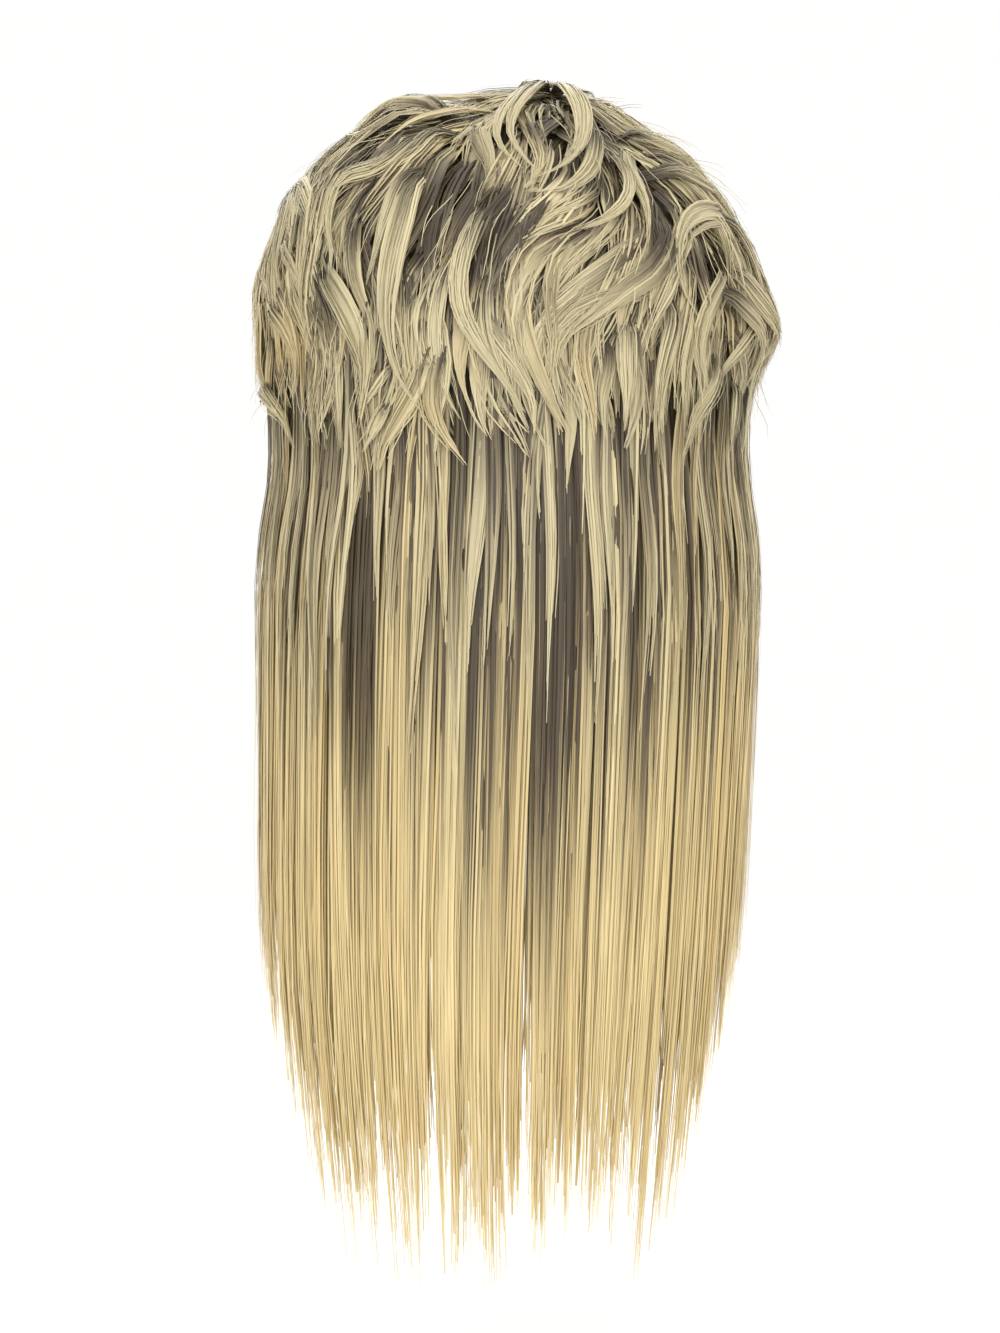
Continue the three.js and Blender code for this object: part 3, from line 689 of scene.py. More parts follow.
def swellAt(points):
    side, down = seenFromBehind(points)
    lift = 0.0
    for swell in swells:
        apart = (side - swell["side"]) ** 2 + (down - swell["down"]) ** 2
        lift = lift + swell["height"] * np.exp(-apart / 2 / swell["size"] ** 2)
    return lift * smooth((points[:, 1] + 0.03) / 0.05)


# How far outside the dome a lock runs: from inside the hair up to its own level
def crownLift(path, level, rootDepth, flick=0.0, rise=0.3):
    share = np.linspace(0, 1, len(path))
    return mix(-rootDepth, level + swellAt(path), smooth(share / rise)) + flick * smooth((share - 0.7) / 0.3)


def mainGuides():
    guides = []
    for number, row in enumerate(mainLocks["rows"]):
        path = splineThrough([backPoint(side, down) for side, down in row["path"]], 20)
        share = np.linspace(0, 1, len(path))
        level = mainLocks["lift"] + 0.0012 * math.sin(number * 2.4)
        bulge = row.get("bulge", 0.0) * np.sin(math.pi * share)
        rootDepth = row.get("rootDepth", mainLocks["rootDepth"])
        lift = crownLift(path, level, rootDepth, row.get("flick", 0.0), row.get("rise", 0.25))
        points = ontoDome(path, lift + bulge)
        width = row["width"] * mainLocks["halfWidth"]
        # Each main lock is painted lighter towards its middle and darker at both ends, a painted highlight
        # along the lock's bend
        tone = row["tone"] - 0.2 + 0.25 * np.sin(math.pi * share)
        guides.append(
            lockGuide(points, domeNormal(points), width, mainLocks["halfDepth"], tone, row.get("warm", 0.0))
        )
    return guides


backGuides = mainGuides()

# Hair between the main locks: it starts all over the crown and is combed the way that the locks near it lie
filler = {
    "whorl": (-0.014, 0.008, 0.019),
    "combReach": 0.013,
    "step": 0.005,
    # Dark hollows between the locks, sunk in and with their strands painted darker towards the root colour,
    # painted shade in the hollows; and, with a depth below 0, places where the strands are made lighter; all as
    # seen from behind
    "paintedShadeHollows": [
        {"side": 0.17, "down": 0.31, "size": 0.07, "depth": 1.2},
        {"side": 0.27, "down": 0.46, "size": 0.075, "depth": 1.1},
        {"side": 0.05, "down": 0.44, "size": 0.05, "depth": 1.4},
        {"side": 0.10, "down": 0.54, "size": 0.07, "depth": 0.8},
        {"side": -0.14, "down": 0.14, "size": 0.06, "depth": 0.8},
        {"side": -0.17, "down": 0.06, "size": 0.045, "depth": 0.9},
        {"side": -0.38, "down": 0.165, "size": 0.05, "depth": 0.8},
        {"side": -0.36, "down": 0.30, "size": 0.06, "depth": 0.9},
        {"side": -0.60, "down": 0.345, "size": 0.035, "depth": 0.8},
        {"side": -0.77, "down": 0.54, "size": 0.055, "depth": 1.2},
        {"side": 0.52, "down": 0.43, "size": 0.08, "depth": 0.35},
        {"side": 0.615, "down": 0.63, "size": 0.07, "depth": 0.7},
        {"side": 0.27, "down": 0.63, "size": 0.06, "depth": 0.3},
        {"side": -0.56, "down": 0.42, "size": 0.05, "depth": 0.4},
        {"side": 0.846, "down": 0.83, "size": 0.045, "depth": 0.35},
        {"side": -0.74, "down": 0.25, "size": 0.15, "depth": -0.8},
        {"side": -0.95, "down": 0.52, "size": 0.12, "depth": -0.7},
        {"side": -0.93, "down": 0.76, "size": 0.07, "depth": -0.4},
        {"side": 0.12, "down": 0.07, "size": 0.22, "depth": -0.6},
        {"side": -0.45, "down": 0.10, "size": 0.12, "depth": -0.5},
        {"side": 0.92, "down": 0.45, "size": 0.12, "depth": -0.3},
        {"side": 0.92, "down": 0.72, "size": 0.13, "depth": -0.5},
        {"side": 0.27, "down": 0.17, "size": 0.07, "depth": -0.7},
        {"side": -0.53, "down": 0.19, "size": 0.08, "depth": -0.6},
        {"side": -0.82, "down": 0.37, "size": 0.08, "depth": -0.5},
        {"side": -0.62, "down": 0.66, "size": 0.06, "depth": -0.5},
        {"side": -0.18, "down": 0.50, "size": 0.06, "depth": -0.6},
        {"side": 0.17, "down": 0.92, "size": 0.13, "depth": -0.5},
        {"side": -0.78, "down": 0.92, "size": 0.14, "depth": -0.7},
    ],
    # A golden patch over the left ear
    "golden": {"side": 0.88, "down": 0.80, "size": 0.08, "depth": 0.6},
    # Back, front and roots: facing is the turn that they cover, levels are heights off the dome
    "fills": [
        {
            "count": 260, "facing": (-1.8, 1.8), "levels": (-0.0025, 0.001), "tones": (0.25, 0.75),
            "rootDepth": 0.007, "halfWidth": (0.004, 0.007), "halfDepth": 0.0009, "seed": 5,
        },
        {
            "count": 190, "facing": (1.5, 2 * math.pi - 1.5), "levels": (-0.0035, 0.002), "tones": (0.2, 0.95),
            "rootDepth": 0.009, "halfWidth": (0.004, 0.007), "halfDepth": 0.002, "seed": 6,
        },
        {
            "count": 340, "facing": (-math.pi, math.pi), "levels": (-0.0055, -0.0025), "tones": (0.15, 0.5),
            "rootDepth": 0.0085, "halfWidth": (0.005, 0.008), "halfDepth": 0.001, "seed": 7,
        },
    ],
    "whorlLocks": 40,
    "lookTop": {
        "Tufts": 5, "Strands": 3, "Tuft Size": 0.0016, "Frizz": 0.0010, "Frizz Detail": 32.0, "Edge": 0.7,
        "Ragged": 0.35, "Points": 8, "Width": 0.0009, "Flatness": 0.25, "Tip Width": 0.25, "Seed": 31,
    },
    "lookFront": {
        "Tufts": 4, "Strands": 4, "Tuft Size": 0.0011, "Frizz": 0.0014, "Frizz Detail": 32.0, "Edge": 0.9,
        "Ragged": 0.4, "Points": 8, "Width": 0.0009, "Flatness": 0.35, "Tip Width": 0.12, "Seed": 36,
    },
    "lookRoots": {
        "Tufts": 3, "Strands": 3, "Tuft Size": 0.0024, "Frizz": 0.0008, "Frizz Detail": 26.0, "Edge": 0.6,
        "Ragged": 0.3, "Points": 7, "Width": 0.0012, "Flatness": 0.25, "Tip Width": 0.25,
        "Tone Spread": 0.8, "Seed": 51,
    },
}

combPoints = np.concatenate([guide["points"] for guide in backGuides])
combWays = np.concatenate([unit(np.gradient(guide["points"], axis=0)) for guide in backGuides])


def combDirection(points, sway):
    normals = domeNormal(points)
    away = points - np.array(filler["whorl"])
    away[:, 2] = 0
    away = unit(away)
    steep = smooth((head["topVolume"] - points[:, 2]) / 0.06)[:, None]
    base = away * (1 - 0.7 * steep) + np.array([0, 0, -1.0]) * (0.2 + steep)
    gap = points[:, None, :] - combPoints[None]
    weight = np.exp(-np.sum(gap**2, axis=2) / (2 * filler["combReach"] ** 2))
    pulled = weight @ combWays
    pulled /= 1 + np.linalg.norm(pulled, axis=1, keepdims=True)
    way = 0.4 * unit(base) + 1.2 * pulled
    way = unit(way - normals * np.sum(way * normals, axis=1)[:, None])
    turned = np.cross(normals, way)
    return way * np.cos(sway)[:, None] + turned * np.sin(sway)[:, None]


# Walks from each root over the dome until the lock's length or the layer's lower edge is reached
def combedPaths(roots, lengths, sway, phase, edgeSlack):
    steps = int(lengths.max() / filler["step"]) + 1
    places = [roots]
    for step in range(steps):
        here = places[-1]
        swing = sway * np.sin(2 * math.pi * step * filler["step"] / 0.085 + phase)
        here = ontoDome(here + filler["step"] * combDirection(here, swing))
        places.append(here)
    places = np.stack(places, axis=1)
    paths = []
    for line, length, slack in zip(places, lengths, edgeSlack):
        turn = np.arctan2(line[:, 0], line[:, 1])
        edge = -around(turn, head["layerBack"], head["layerSide"], head["layerFront"]) - slack
        reach = int(length / filler["step"]) + 1
        past = np.nonzero(line[:, 2] < edge)[0]
        if len(past):
            reach = min(reach, past[0] + 1)
        if reach >= 6:
            paths.append(line[:reach])
        else:
            paths.append(None)
    return paths


def nearSpots(points, spots):
    side, down = seenFromBehind(points)
    total = 0 * side
    for spot in spots:
        apart = (side - spot["side"]) ** 2 + (down - spot["down"]) ** 2
        total = total + spot["depth"] * np.exp(-apart / 2 / spot["size"] ** 2)
    return total * (points[:, 1] > -0.01)


def crownFill(fill):
    count = fill["count"]
    draw = np.random.default_rng(fill["seed"])
    # Roots spread evenly: golden-ratio steps around, even steps down
    spread = (np.arange(count) * 0.618034 + draw.uniform(0, 0.004, count)) % 1
    turn = mix(*fill["facing"], spread)
    downShare = (np.arange(count) + draw.uniform(0, 1, count)) / count
    edge = around(turn, head["layerBack"], head["layerSide"], head["layerFront"] + 0.01)
    drop = head["topVolume"] - downShare**0.9 * (edge * 0.72 + head["topVolume"])
    height = np.clip((drop + head["widestLevel"]) / (head["widestLevel"] + head["topVolume"]), 0, 0.9995)
    girth = np.sqrt(1 - height**2)
    roots = ontoDome(np.stack([0.1 * girth * np.sin(turn), 0.115 * girth * np.cos(turn), drop], axis=1))
    lengths = draw.uniform(0.055, 0.105, count)
    sway = draw.uniform(0.1, 0.5, count)
    phase = draw.uniform(0, 2 * math.pi, count)
    slack = draw.uniform(-0.02, 0.024, count)
    paths = combedPaths(roots, lengths, sway, phase, slack)
    guides = []
    for path in paths:
        level = draw.uniform(*fill["levels"])
        tone = draw.uniform(*fill["tones"])
        width = draw.uniform(*fill["halfWidth"])
        flick = draw.uniform(-0.002, 0.002)
        warm = min(max(draw.normal(0.0, 0.15), 0), 0.3)
        if path is None:
            continue
        path = splineThrough(path, 16)
        # Strands over a hollow sink in and are painted darker there, painted shade between the locks; in the
        # lighter places they are made lighter
        hollowAndPaintedShade = nearSpots(path, filler["paintedShadeHollows"])
        warm = warm + nearSpots(path, [filler["golden"]])
        sunk = np.clip(hollowAndPaintedShade, 0, 1)
        lift = crownLift(path, level - 0.004 * sunk, fill["rootDepth"], flick * (1 - sunk[-1]))
        points = ontoDome(path, lift)
        fade = mix(0.12, 1, np.linspace(0, 1, len(points)))
        guides.append(
            lockGuide(points, domeNormal(points), width, fill["halfDepth"], tone - hollowAndPaintedShade, warm, fade=fade)
        )
    return guides


backFill, frontFill, rootFill = (crownFill(fill) for fill in filler["fills"])


# Locks that start just past the whorl and lie over it, so that no bare place shows
def whorlGuides():
    draw = np.random.default_rng(8)
    centre = np.array(filler["whorl"])
    share = np.linspace(0, 1, 16)
    guides = []
    for number in range(filler["whorlLocks"]):
        turn = (number + draw.uniform(0, 1)) * 2 * math.pi / filler["whorlLocks"]
        reach = mix(-draw.uniform(0.004, 0.022), draw.uniform(0.035, 0.065), share)
        curl = turn + draw.uniform(4, 12) * np.maximum(reach, 0)
        level = draw.uniform(-0.004, -0.0005)
        tone = draw.uniform(0.4, 0.85)
        path = ontoDome(centre + np.stack([reach * np.sin(curl), reach * np.cos(curl), 0 * reach], axis=1))
        lift = mix(-0.009, level, smooth(share / 0.15)) - 0.005 * smooth((share - 0.6) / 0.4)
        # Whorl locks over a hollow sink in and are painted darker there, painted shade
        hollowAndPaintedShade = np.clip(nearSpots(path, filler["paintedShadeHollows"]), 0, 1)
        points = ontoDome(path, lift - 0.003 * hollowAndPaintedShade)
        fade = 0.45 + 0.5 * share
        guides.append(lockGuide(points, domeNormal(points), 0.005, 0.0012, tone - 0.8 * hollowAndPaintedShade, fade=fade))
    return guides


backFill += whorlGuides()

# The dark mass of hair underneath, a closed shell with its own streaks
underMass = {"columns": 72, "rows": 14, "outer": -0.0085, "inner": -0.010, "reach": 0.9, "tone": 0.15}


def buildUnderMass():
    columns = underMass["columns"]
    rows = underMass["rows"]
    turn = np.linspace(0, 2 * math.pi, columns, endpoint=False)
    edge = around(turn, head["layerBack"], head["layerSide"], head["layerFront"]) * underMass["reach"]
    points = []
    for lift in (underMass["outer"], underMass["inner"]):
        points.append(np.array([[0.0, 0.0, head["topVolume"] + lift]]))
        for row in range(1, rows + 1):
            down = 1 - math.cos(row / rows * math.pi / 2)
            z = head["topVolume"] - (head["topVolume"] + edge) * down
            height = np.clip((z + head["widestLevel"]) / (head["widestLevel"] + head["topVolume"]), 0, 1)
            girth = np.sqrt(1 - height**2)
            ring = np.stack([0.104 * girth * np.sin(turn), 0.115 * girth * np.cos(turn), z], axis=1)
            points.append(ontoDome(ring, lift))
    points = np.concatenate(points)
    layer = 1 + columns * rows
    faces = []
    spots = []
    for side, base in enumerate((0, layer)):
        for column in range(columns):
            following = (column + 1) % columns
            for row in range(rows):
                upper = [base + 1 + (row - 1) * columns + c for c in (column, following)]
                lower = [base + 1 + row * columns + c for c in (column, following)]
                corners = [upper[0], lower[0], lower[1], upper[1]]
                places = [(column, row), (column, row + 1), (column + 1, row + 1), (column + 1, row)]
                if row == 0:
                    corners = [base, lower[0], lower[1]]
                    places = [(column + 0.5, row), (column, row + 1), (column + 1, row + 1)]
                if side == 0:
                    corners.reverse()
                    places.reverse()
                faces.append(corners)
                spots += [(c / columns, side * 0.5 + r / rows * 0.46) for c, r in places]
    for column in range(columns):
        following = (column + 1) % columns
        last = 1 + (rows - 1) * columns
        faces.append([last + following, last + column, layer + last + column, layer + last + following])
        ends = [(column + 1) / columns, column / columns]
        spots += [(ends[0], 0.47), (ends[1], 0.47), (ends[1], 0.49), (ends[0], 0.49)]
    mesh = bpy.data.meshes.new("crown_under_mass")
    mesh.from_pydata(points.tolist(), [], faces)
    mesh.shade_smooth()
    layout = mesh.uv_layers.new(name="OFBake")
    layout.data.foreach_set("uv", np.array(spots, np.float32).ravel())
    order = (np.arange(len(points)) - 1) % layer % columns
    rim = np.minimum(order, columns - order) * 9.0
    values = {"fade": 0.12, "shade": underMass["tone"], "warm": 0.0, "strand": 0.5, "rim": rim}
    for label, value in values.items():
        attribute = mesh.attributes.new(label, "FLOAT", "POINT")
        attribute.data.foreach_set("value", (value + 0 * rim).astype(np.float32))
    mesh.materials.append(crownMaterial)
    piece = bpy.data.objects.new("crown_under_mass", mesh)
    scene.collection.objects.link(piece)
    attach(piece, "root")
    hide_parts("crown_hair")


buildUnderMass()
bodyGuides = sunkGuides(backGuides, 0.0004) + sunkGuides(backFill, 0.0008) + sunkGuides(frontFill, 0.001)
combHair("crown_lock_bodies", bodyGuides, bodyLook, crownBodyMaterial, ["crown_hair"])
combHair("crown_main_locks", backGuides, mainLocks["look"], crownMaterial, ["crown_hair"])
combHair("crown_back_hair", backFill, filler["lookTop"], crownMaterial, ["crown_hair"])
combHair("crown_front_hair", frontFill, filler["lookFront"], crownMaterial, ["crown_hair"])
combHair("crown_root_hair", rootFill, filler["lookRoots"], crownRootMaterial, ["crown_hair"])

# Long hair: straight locks in layers round the back. Drop is a share of the whole length.
longHair = {
    "sections": [
        {"drop": 0.1, "width": 0.92, "back": 0.95, "side": 0.0, "sideWall": 0.014, "backWall": 0.005},
        {"drop": 0.3, "width": 0.94, "back": 0.965, "side": 0.0, "sideWall": 0.014, "backWall": 0.006},
        {"drop": 0.36, "width": 0.99, "back": 0.99, "side": 0.0, "sideWall": 0.018, "backWall": 0.014},
        {"drop": 0.41, "width": 1.0, "back": 0.98, "side": 0.04, "sideWall": 0.018, "backWall": 0.016},
        {"drop": 0.48, "width": 0.99, "back": 0.95, "side": 0.1, "sideWall": 0.015, "backWall": 0.015},
        {"drop": 0.59, "width": 0.98, "back": 0.92, "side": 0.18, "sideWall": 0.012, "backWall": 0.012},
        {"drop": 0.7, "width": 0.96, "back": 0.91, "side": 0.3, "sideWall": 0.010, "backWall": 0.010},
        {"drop": 0.8, "width": 0.92, "back": 0.92, "side": 0.42, "sideWall": 0.008, "backWall": 0.008},
        {"drop": 0.9, "width": 0.86, "back": 0.94, "side": 0.52, "sideWall": 0.006, "backWall": 0.006},
        {"drop": 1.0, "width": 0.80, "back": 0.96, "side": 0.6, "sideWall": 0.004, "backWall": 0.004},
    ],
    "lengths": [(0.0, 1.0), (0.45, 0.99), (0.6, 0.96), (0.7, 0.89), (0.84, 0.82), (1.0, 0.74)],
    # Light and dark locks as seen from behind, by their place across from the wearer's left to the right
    "streaks": [
        (0.97, 0.85), (0.9, 0.5), (0.86, 0.2), (0.78, 0.65), (0.68, 0.6), (0.55, 0.3), (0.48, 0.5),
        (0.38, 0.6), (0.27, 0.35), (0.2, 0.65), (0.08, 0.05), (0.0, 0.6), (-0.08, 0.5), (-0.18, 0.15),
        (-0.3, 0.5), (-0.38, 0.35), (-0.48, 0.65), (-0.57, 0.35), (-0.66, 0.7), (-0.75, 0.35),
        (-0.84, 0.75), (-0.97, 0.9),
    ],
    "layers": [
        {"locks": 64, "depth": 0.001, "halfWidth": 0.0040, "toneShift": -0.03, "short": 0.0},
        {"locks": 54, "depth": 0.004, "halfWidth": 0.0060, "toneShift": -0.05, "short": 0.04},
        {"locks": 46, "depth": 0.008, "halfWidth": 0.0075, "toneShift": -0.15, "short": 0.1},
    ],
    "leftward": 0.005,
    "lookOuter": {
        "Tufts": 5, "Strands": 8, "Tuft Size": 0.0015, "Frizz": 0.0009, "Frizz Detail": 14.0, "Edge": 0.7,
        "Ragged": 0.32, "Points": 8, "Width": 0.00105, "Flatness": 0.1, "Tip Width": 0.15, "Tone Spread": 0.6,
        "Roundness": 0.15, "Seed": 71,
    },
    "lookInner": {
        "Tufts": 3, "Strands": 7, "Tuft Size": 0.0035, "Frizz": 0.0018, "Frizz Detail": 12.0, "Edge": 0.6,
        "Ragged": 0.34, "Points": 7, "Width": 0.0014, "Flatness": 0.3, "Tip Width": 0.2,
        "Tone Spread": 0.6, "Seed": 91,
    },
}
sectionTable = {key: np.array([row[key] for row in longHair["sections"]]) for key in longHair["sections"][0]}


# A point of the curtain: across runs from -1 at the wearer's right edge to 1 at the left one
def curtainPoint(across, drop, depth):
    place = drop / head["longDrop"]
    width, back, side, sideWall, backWall = (
        np.interp(place, sectionTable["drop"], sectionTable[key])
        for key in ("width", "back", "side", "sideWall", "backWall")
    )
    angle = across * math.pi / 2
    inward = np.minimum(depth, mix(sideWall, backWall, np.cos(angle) ** 2))
    edge = side * head["longDepth"]
    x = (width * head["longWidth"] - inward) * np.sin(angle)
    # The lower half hangs a little to the wearer's left
    x = x + longHair["leftward"] * smooth((place - 0.3) / 0.5)
    y = edge + (back * head["longDepth"] - inward - edge) * np.cos(angle)
    return np.stack([x, y, -drop], axis=1)


def longGuides(layer, seed):
    draw = np.random.default_rng(seed)
    streakPlaces, streakTones = np.array(sorted(longHair["streaks"])).T
    lengthPlaces, lengthShares = np.array(longHair["lengths"]).T
    guides = []
    for number in range(layer["locks"]):
        across = mix(-0.99, 0.99, (number + 0.5) / layer["locks"]) + draw.uniform(-0.5, 0.5) / layer["locks"]
        across = np.clip(across, -0.995, 0.995)
        lean = draw.normal(0, 0.022)
        reach = np.interp(abs(across), lengthPlaces, lengthShares) * draw.uniform(0.93, 1.0)
        reach *= head["longDrop"] * (1 - layer["short"] * draw.uniform(0, 1))
        share = np.linspace(0, 1, 12)
        drop = mix(head["longTop"], reach, share)
        wave = 0.006 * draw.normal() * np.sin(share * math.pi * 2 + draw.uniform(0, 6.28))
        place = np.clip(across + lean * share + wave * share, -1, 1)
        seenSide = np.sin(place[3] * math.pi / 2)
        tone = np.interp(seenSide, streakPlaces, streakTones) + layer["toneShift"] + draw.normal(0, 0.12)
        depth = layer["depth"] + draw.uniform(-0.001, 0.002) + 0.012 * (1 - smooth((drop - 0.05) / 0.07))
        points = curtainPoint(place, drop, depth)
        outward = unit(points * [1, 1, 0])
        width = layer["halfWidth"] * draw.uniform(0.7, 1.2)
        warm = max(draw.normal(0.05, 0.2), 0)
        # The sides grow light sooner than the middle
        fade = (drop - 0.05) / 0.43 * (0.97 + 0.35 * seenSide**2)
        guides.append(
            lockGuide(points, outward, width, 0.0005, tone, warm, tip=0.9, fade=fade)
        )
    return guides


outerGuides = longGuides(longHair["layers"][0], 21)
innerGuides = longGuides(longHair["layers"][1], 22) + longGuides(longHair["layers"][2], 23)
combHair("long_outer_hair", outerGuides, longHair["lookOuter"], longMaterial, ["long_back_hair"])
longBodies = sunkGuides(outerGuides, 0.0006) + sunkGuides(innerGuides[:longHair["layers"][1]["locks"]], 0.001)
softEnds = {**bodyLook, "Ragged": 0.45, "Tone Spread": 0.4}
combHair("long_lock_bodies", longBodies, softEnds, longBodyMaterial, ["long_back_hair"])
combHair("long_inner_hair", innerGuides, longHair["lookInner"], longMaterial, ["long_back_hair"])

# Mid-length locks that leave the crown layer and lie on the long hair
overlap = {
    "locks": 64,
    "tone": (0.15, 0.85),
    "from": 0.078,
    "to": (0.150, 0.265),
    "halfWidth": (0.0020, 0.0042),
    "look": {
        "Tufts": 3, "Strands": 5, "Tuft Size": 0.0013, "Frizz": 0.0008, "Frizz Detail": 18.0, "Edge": 0.9,
        "Ragged": 0.55, "Points": 9, "Width": 0.0009, "Flatness": 0.25, "Tip Width": 0.25,
        "Tone Spread": 0.35, "Seed": 61,
    },
}


def overlapGuides():
    draw = np.random.default_rng(24)
    guides = []
    for number in range(overlap["locks"]):
        across = mix(-0.97, 0.97, (number + draw.uniform(0, 1)) / overlap["locks"])
        share = np.linspace(0, 1, 12)
        drop = mix(overlap["from"] + draw.uniform(0, 0.02), draw.uniform(*overlap["to"]), share)
        sway = draw.normal(0, 0.025) * (1 - share) ** 2 + 0.008 * np.sin(share * 6 + number)
        place = np.clip(across + sway, -1, 1)
        angle = place * math.pi / 2
        onCrown = ontoDome(np.stack([0.1 * np.sin(angle), 0.115 * np.cos(angle), -drop], axis=1), -0.002)
        points = mix(onCrown, curtainPoint(place, drop, -0.0012), smooth((drop - 0.09) / 0.05)[:, None])
        outward = unit(points * [1, 1, 0])
        tone = draw.uniform(*overlap["tone"])
        width = draw.uniform(*overlap["halfWidth"])
        fade = 0.25 + 0.75 * share
        guides.append(lockGuide(points, outward, width, 0.0012, tone, max(draw.normal(0, 0.2), 0), 0.3, fade))
    return guides


hangingGuides = overlapGuides()
combHair("crown_overlap_hair", hangingGuides, overlap["look"], crownMaterial, ["crown_hair"])
hangingBodies = sunkGuides(hangingGuides, 0.0004)
combHair("crown_overlap_bodies", hangingBodies, softEnds, crownBodyMaterial, ["crown_hair"])

# Single fly-away hairs that stand off the outline
flyAway = {
    "crown": 1000,
    "length": (0.018, 0.040),
    "stand": (0.001, 0.007),
    "look": {
        "Tufts": 1, "Strands": 1, "Tuft Size": 0.0, "Frizz": 0.0022, "Frizz Detail": 40.0,
        "Ragged": 0.1, "Points": 7, "Width": 0.00045, "Flatness": 0.8, "Tip Width": 0.4, "Seed": 81,
    },
}


def flyAwayGuides():
    draw = np.random.default_rng(25)
    count = flyAway["crown"]
    turn = draw.uniform(-math.pi, math.pi, count)
    height = draw.uniform(-0.4, 0.98, count)
    girth = np.sqrt(1 - np.clip(height, 0, 1) ** 2)
    level = height * (head["widestLevel"] + head["topVolume"]) - head["widestLevel"]
    roots = ontoDome(np.stack([0.1 * girth * np.sin(turn), 0.115 * girth * np.cos(turn), level], axis=1))
    paths = combedPaths(
        roots, draw.uniform(*flyAway["length"], count), draw.uniform(0.0, 0.3, count),
        draw.uniform(0, 2 * math.pi, count), draw.uniform(0, 0.03, count),
    )
    guides = []
    for path in paths:
        stand = draw.uniform(*flyAway["stand"])
        tone = draw.uniform(0.3, 0.8)
        if path is None:
            continue
        path = splineThrough(path, 9)
        share = np.linspace(0, 1, len(path))
        points = ontoDome(path, mix(-0.003, stand, smooth(share)))
        guides.append(lockGuide(points, domeNormal(points), 0.0005, 0.0005, tone, fade=0.5 + 0.5 * share))
    return guides


combHair("fly_away_hair", flyAwayGuides(), flyAway["look"], crownMaterial)


# Short hair that hangs from the cap: fringe and temples
shortHair = {
    "halfWidth": 0.0036,
    "halfDepth": 0.0016,
    "fringe": {
        "fromTurn": 132, "toTurn": 228, "locks": 36, "top": 0.020,
        "tip": 0.088, "depth": 0.008, "sweep": 7, "seed": 41,
    },
    "templeLeft": {
        "fromTurn": 91, "toTurn": 131, "locks": 24, "top": 0.045,
        "tip": 0.132, "depth": 0.015, "sweep": -4, "seed": 42,
    },
    "templeRight": {
        "fromTurn": 229, "toTurn": 269, "locks": 24, "top": 0.045,
        "tip": 0.132, "depth": 0.015, "sweep": 4, "seed": 43,
    },
    "look": {
        "Tufts": 4, "Strands": 5, "Tuft Size": 0.0014, "Frizz": 0.0011, "Frizz Detail": 30.0, "Edge": 0.9,
        "Ragged": 0.4, "Points": 8, "Width": 0.0009, "Flatness": 0.35, "Tip Width": 0.12, "Seed": 45,
    },
}


def headPoint(turn, drop, lift):
    tilt = np.arccos(np.clip(1 - drop / head["crownRise"], 0, 1))
    below = np.maximum(drop - head["crownRise"], 0)
    x = (head["halfWidth"] + lift) * np.sin(tilt) * np.sin(turn)
    y = (head["halfLength"] + lift) * np.sin(tilt) * np.cos(turn)
    z = (head["crownRise"] + lift) * np.cos(tilt) - head["crownRise"] - below
    return np.stack([x, y, z], axis=1)


def shortGuides(form):
    draw = np.random.default_rng(form["seed"])
    guides = []
    for number in range(form["locks"]):
        spot = (number + draw.uniform(0.1, 0.9)) / form["locks"]
        share = np.linspace(0, 1, 12)
        sweep = form["sweep"] * share**2 * math.sin(math.pi * spot)
        turn = np.radians(mix(form["fromTurn"], form["toTurn"], spot) + sweep)
        drop = mix(form["top"], form["tip"] * draw.uniform(0.86, 1.0), share)
        full = form["depth"] * draw.uniform(0.2, 1.0)
        lift = head["capWall"] + 0.001 + full * smooth(share * 2.5) * mix(1, 0.7, smooth((share - 0.6) / 0.4))
        points = headPoint(turn, drop, lift)
        guides.append(
            lockGuide(
                points, unit(points * [1, 1, 0.3]), shortHair["halfWidth"], shortHair["halfDepth"],
                draw.uniform(0.3, 1.0), max(draw.normal(0, 0.2), 0),
            )
        )
    return guides


for name, form, node in (
    ("fringe_hair", "fringe", "fringe"),
    ("temple_hair_strands_left", "templeLeft", "temple_hair_left"),
    ("temple_hair_strands_right", "templeRight", "temple_hair_right"),
):
    combHair(name, shortGuides(shortHair[form]), shortHair["look"], crownMaterial, [node])

print("strands in all:", seen["triangles"], "triangles")


# Cap: dark knitted net with rows of sewn-in wefts
def capMaterial():
    material = bpy.data.materials.new("capNet")
    material.use_nodes = True
    tree = material.node_tree
    shader = tree.nodes["Principled BSDF"]
    shader.inputs["Specular IOR Level"].default_value = 0.25
    place = addNode(tree, "ShaderNodeTexCoord").outputs["Object"]
    inputs = {"Vector": place, "Scale": 620.0}
    knit = addNode(tree, "ShaderNodeTexVoronoi", inputs, feature="DISTANCE_TO_EDGE").outputs[0]
    yarn = ramp(tree, knit, 0.02, 0.2, 1.0, 0.0, "LINEAR")
    colour = blend(tree, yarn, tint(34, 29, 25), tint(78, 68, 56))
    # Rows of weft, each a raised band of stitched hair
    level = Field(tree, addNode(tree, "ShaderNodeSeparateXYZ", {0: place}).outputs[2])
    weft = ramp(tree, calc(tree, "PINGPONG", level / 0.009, 0.5), 0.34, 0.44, easing="LINEAR")
    stitch = noiseNode(tree, place, 900.0, 1.0).outputs["Fac"]
    thread = blend(tree, stitch, tint(70, 58, 42), tint(150, 134, 100))
    tree.links.new(blend(tree, weft, colour, thread), shader.inputs["Base Color"])
    shader.inputs["Roughness"].default_value = 0.85
    bump = addNode(tree, "ShaderNodeBump", {"Height": yarn * 0.3 + weft, "Strength": 0.5, "Distance": 0.0008})
    tree.links.new(bump.outputs[0], shader.inputs["Normal"])
    return material


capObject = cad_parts["wig_cap"]
capObject.data.materials.clear()
capObject.data.materials.append(capMaterial())
print("cap finished")

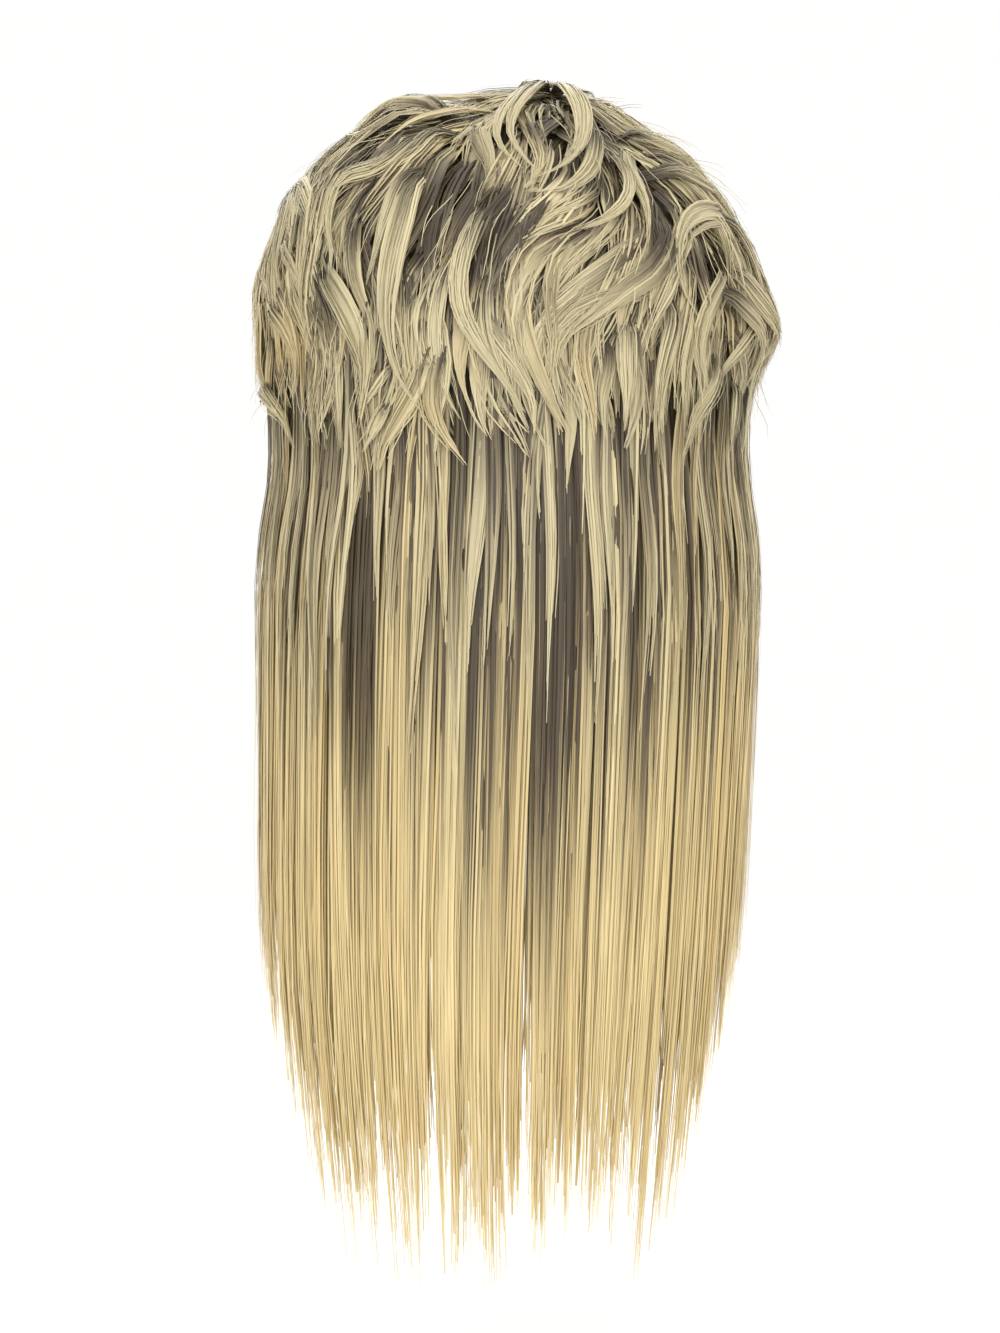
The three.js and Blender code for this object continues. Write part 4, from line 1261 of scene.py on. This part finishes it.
# Studio: a pale floor, a white surround and soft lights
studio = {
    "distance": 1.6,
    "elevation": 4.0,
    "aim": (0.0042, 0.03, -0.223),
    "frameHeight": 0.56,
    "floor": -0.515,
    "floorReach": 1.5,
    "ambient": 0.95,
}


def buildStudio():
    bpy.ops.mesh.primitive_circle_add(
        vertices=96, radius=studio["floorReach"], fill_type="NGON", location=(0, 0, studio["floor"])
    )
    floor = bpy.context.object
    floor.name = "floor"
    paper = bpy.data.materials.new("paleFloor")
    paper.use_nodes = True
    paperTree = paper.node_tree
    shader = paperTree.nodes["Principled BSDF"]
    shader.inputs["Base Color"].default_value = (0.92, 0.92, 0.91, 1)
    shader.inputs["Roughness"].default_value = 0.9
    # The floor fades into the white surround
    place = addNode(paperTree, "ShaderNodeTexCoord").outputs["Object"]
    away = addNode(paperTree, "ShaderNodeVectorMath", {0: place}, operation="LENGTH").outputs["Value"]
    solid = ramp(paperTree, away, studio["floorReach"] * 0.4, studio["floorReach"], 1.0, 0.0)
    join(paperTree, solid, shader.inputs["Alpha"])
    floor.data.materials.append(paper)
    world = bpy.data.worlds.new("studio")
    world.use_nodes = True
    scene.world = world
    tree = world.node_tree
    background = tree.nodes["Background"]
    background.inputs["Color"].default_value = (1, 1, 0.995, 1)
    # The camera sees the surround as white, and the hair is lit by less
    seenByCamera = addNode(tree, "ShaderNodeLightPath").outputs["Is Camera Ray"]
    strength = addNode(tree, "ShaderNodeMapRange", {0: seenByCamera, 3: studio["ambient"], 4: 1.0}).outputs[0]
    tree.links.new(strength, background.inputs["Strength"])
    for name, place, size, power in (
        ("keyLight", (0.7, 1.7, 0.5), 1.5, 20),
        ("fillLight", (-1.0, 1.5, 0.1), 1.5, 10),
        ("topLight", (0.0, 0.4, 1.4), 1.2, 9),
        ("faceLight", (0.3, -1.6, 0.5), 1.2, 12),
    ):
        light = bpy.data.lights.new(name, "AREA")
        light.size = size
        light.energy = power
        lamp = bpy.data.objects.new(name, light)
        scene.collection.objects.link(lamp)
        lamp.location = place
        toTarget = -np.array(place) + [0, 0, -0.15]
        lamp.rotation_euler = Vector(toTarget).to_track_quat("-Z", "Y").to_euler()
    scene.view_settings.view_transform = "Standard"


def buildCamera():
    camera = bpy.data.cameras.new("camera")
    camera.sensor_fit = "VERTICAL"
    camera.lens = camera.sensor_height * studio["distance"] / studio["frameHeight"]
    viewer = bpy.data.objects.new("camera", camera)
    scene.collection.objects.link(viewer)
    tilt = math.radians(studio["elevation"])
    away = Vector((0, math.cos(tilt), math.sin(tilt))) * studio["distance"]
    aim = Vector(studio["aim"])
    viewer.location = aim + away
    viewer.rotation_euler = (-away).to_track_quat("-Z", "Y").to_euler()
    scene.camera = viewer


buildStudio()
buildCamera()
print("studio ready")
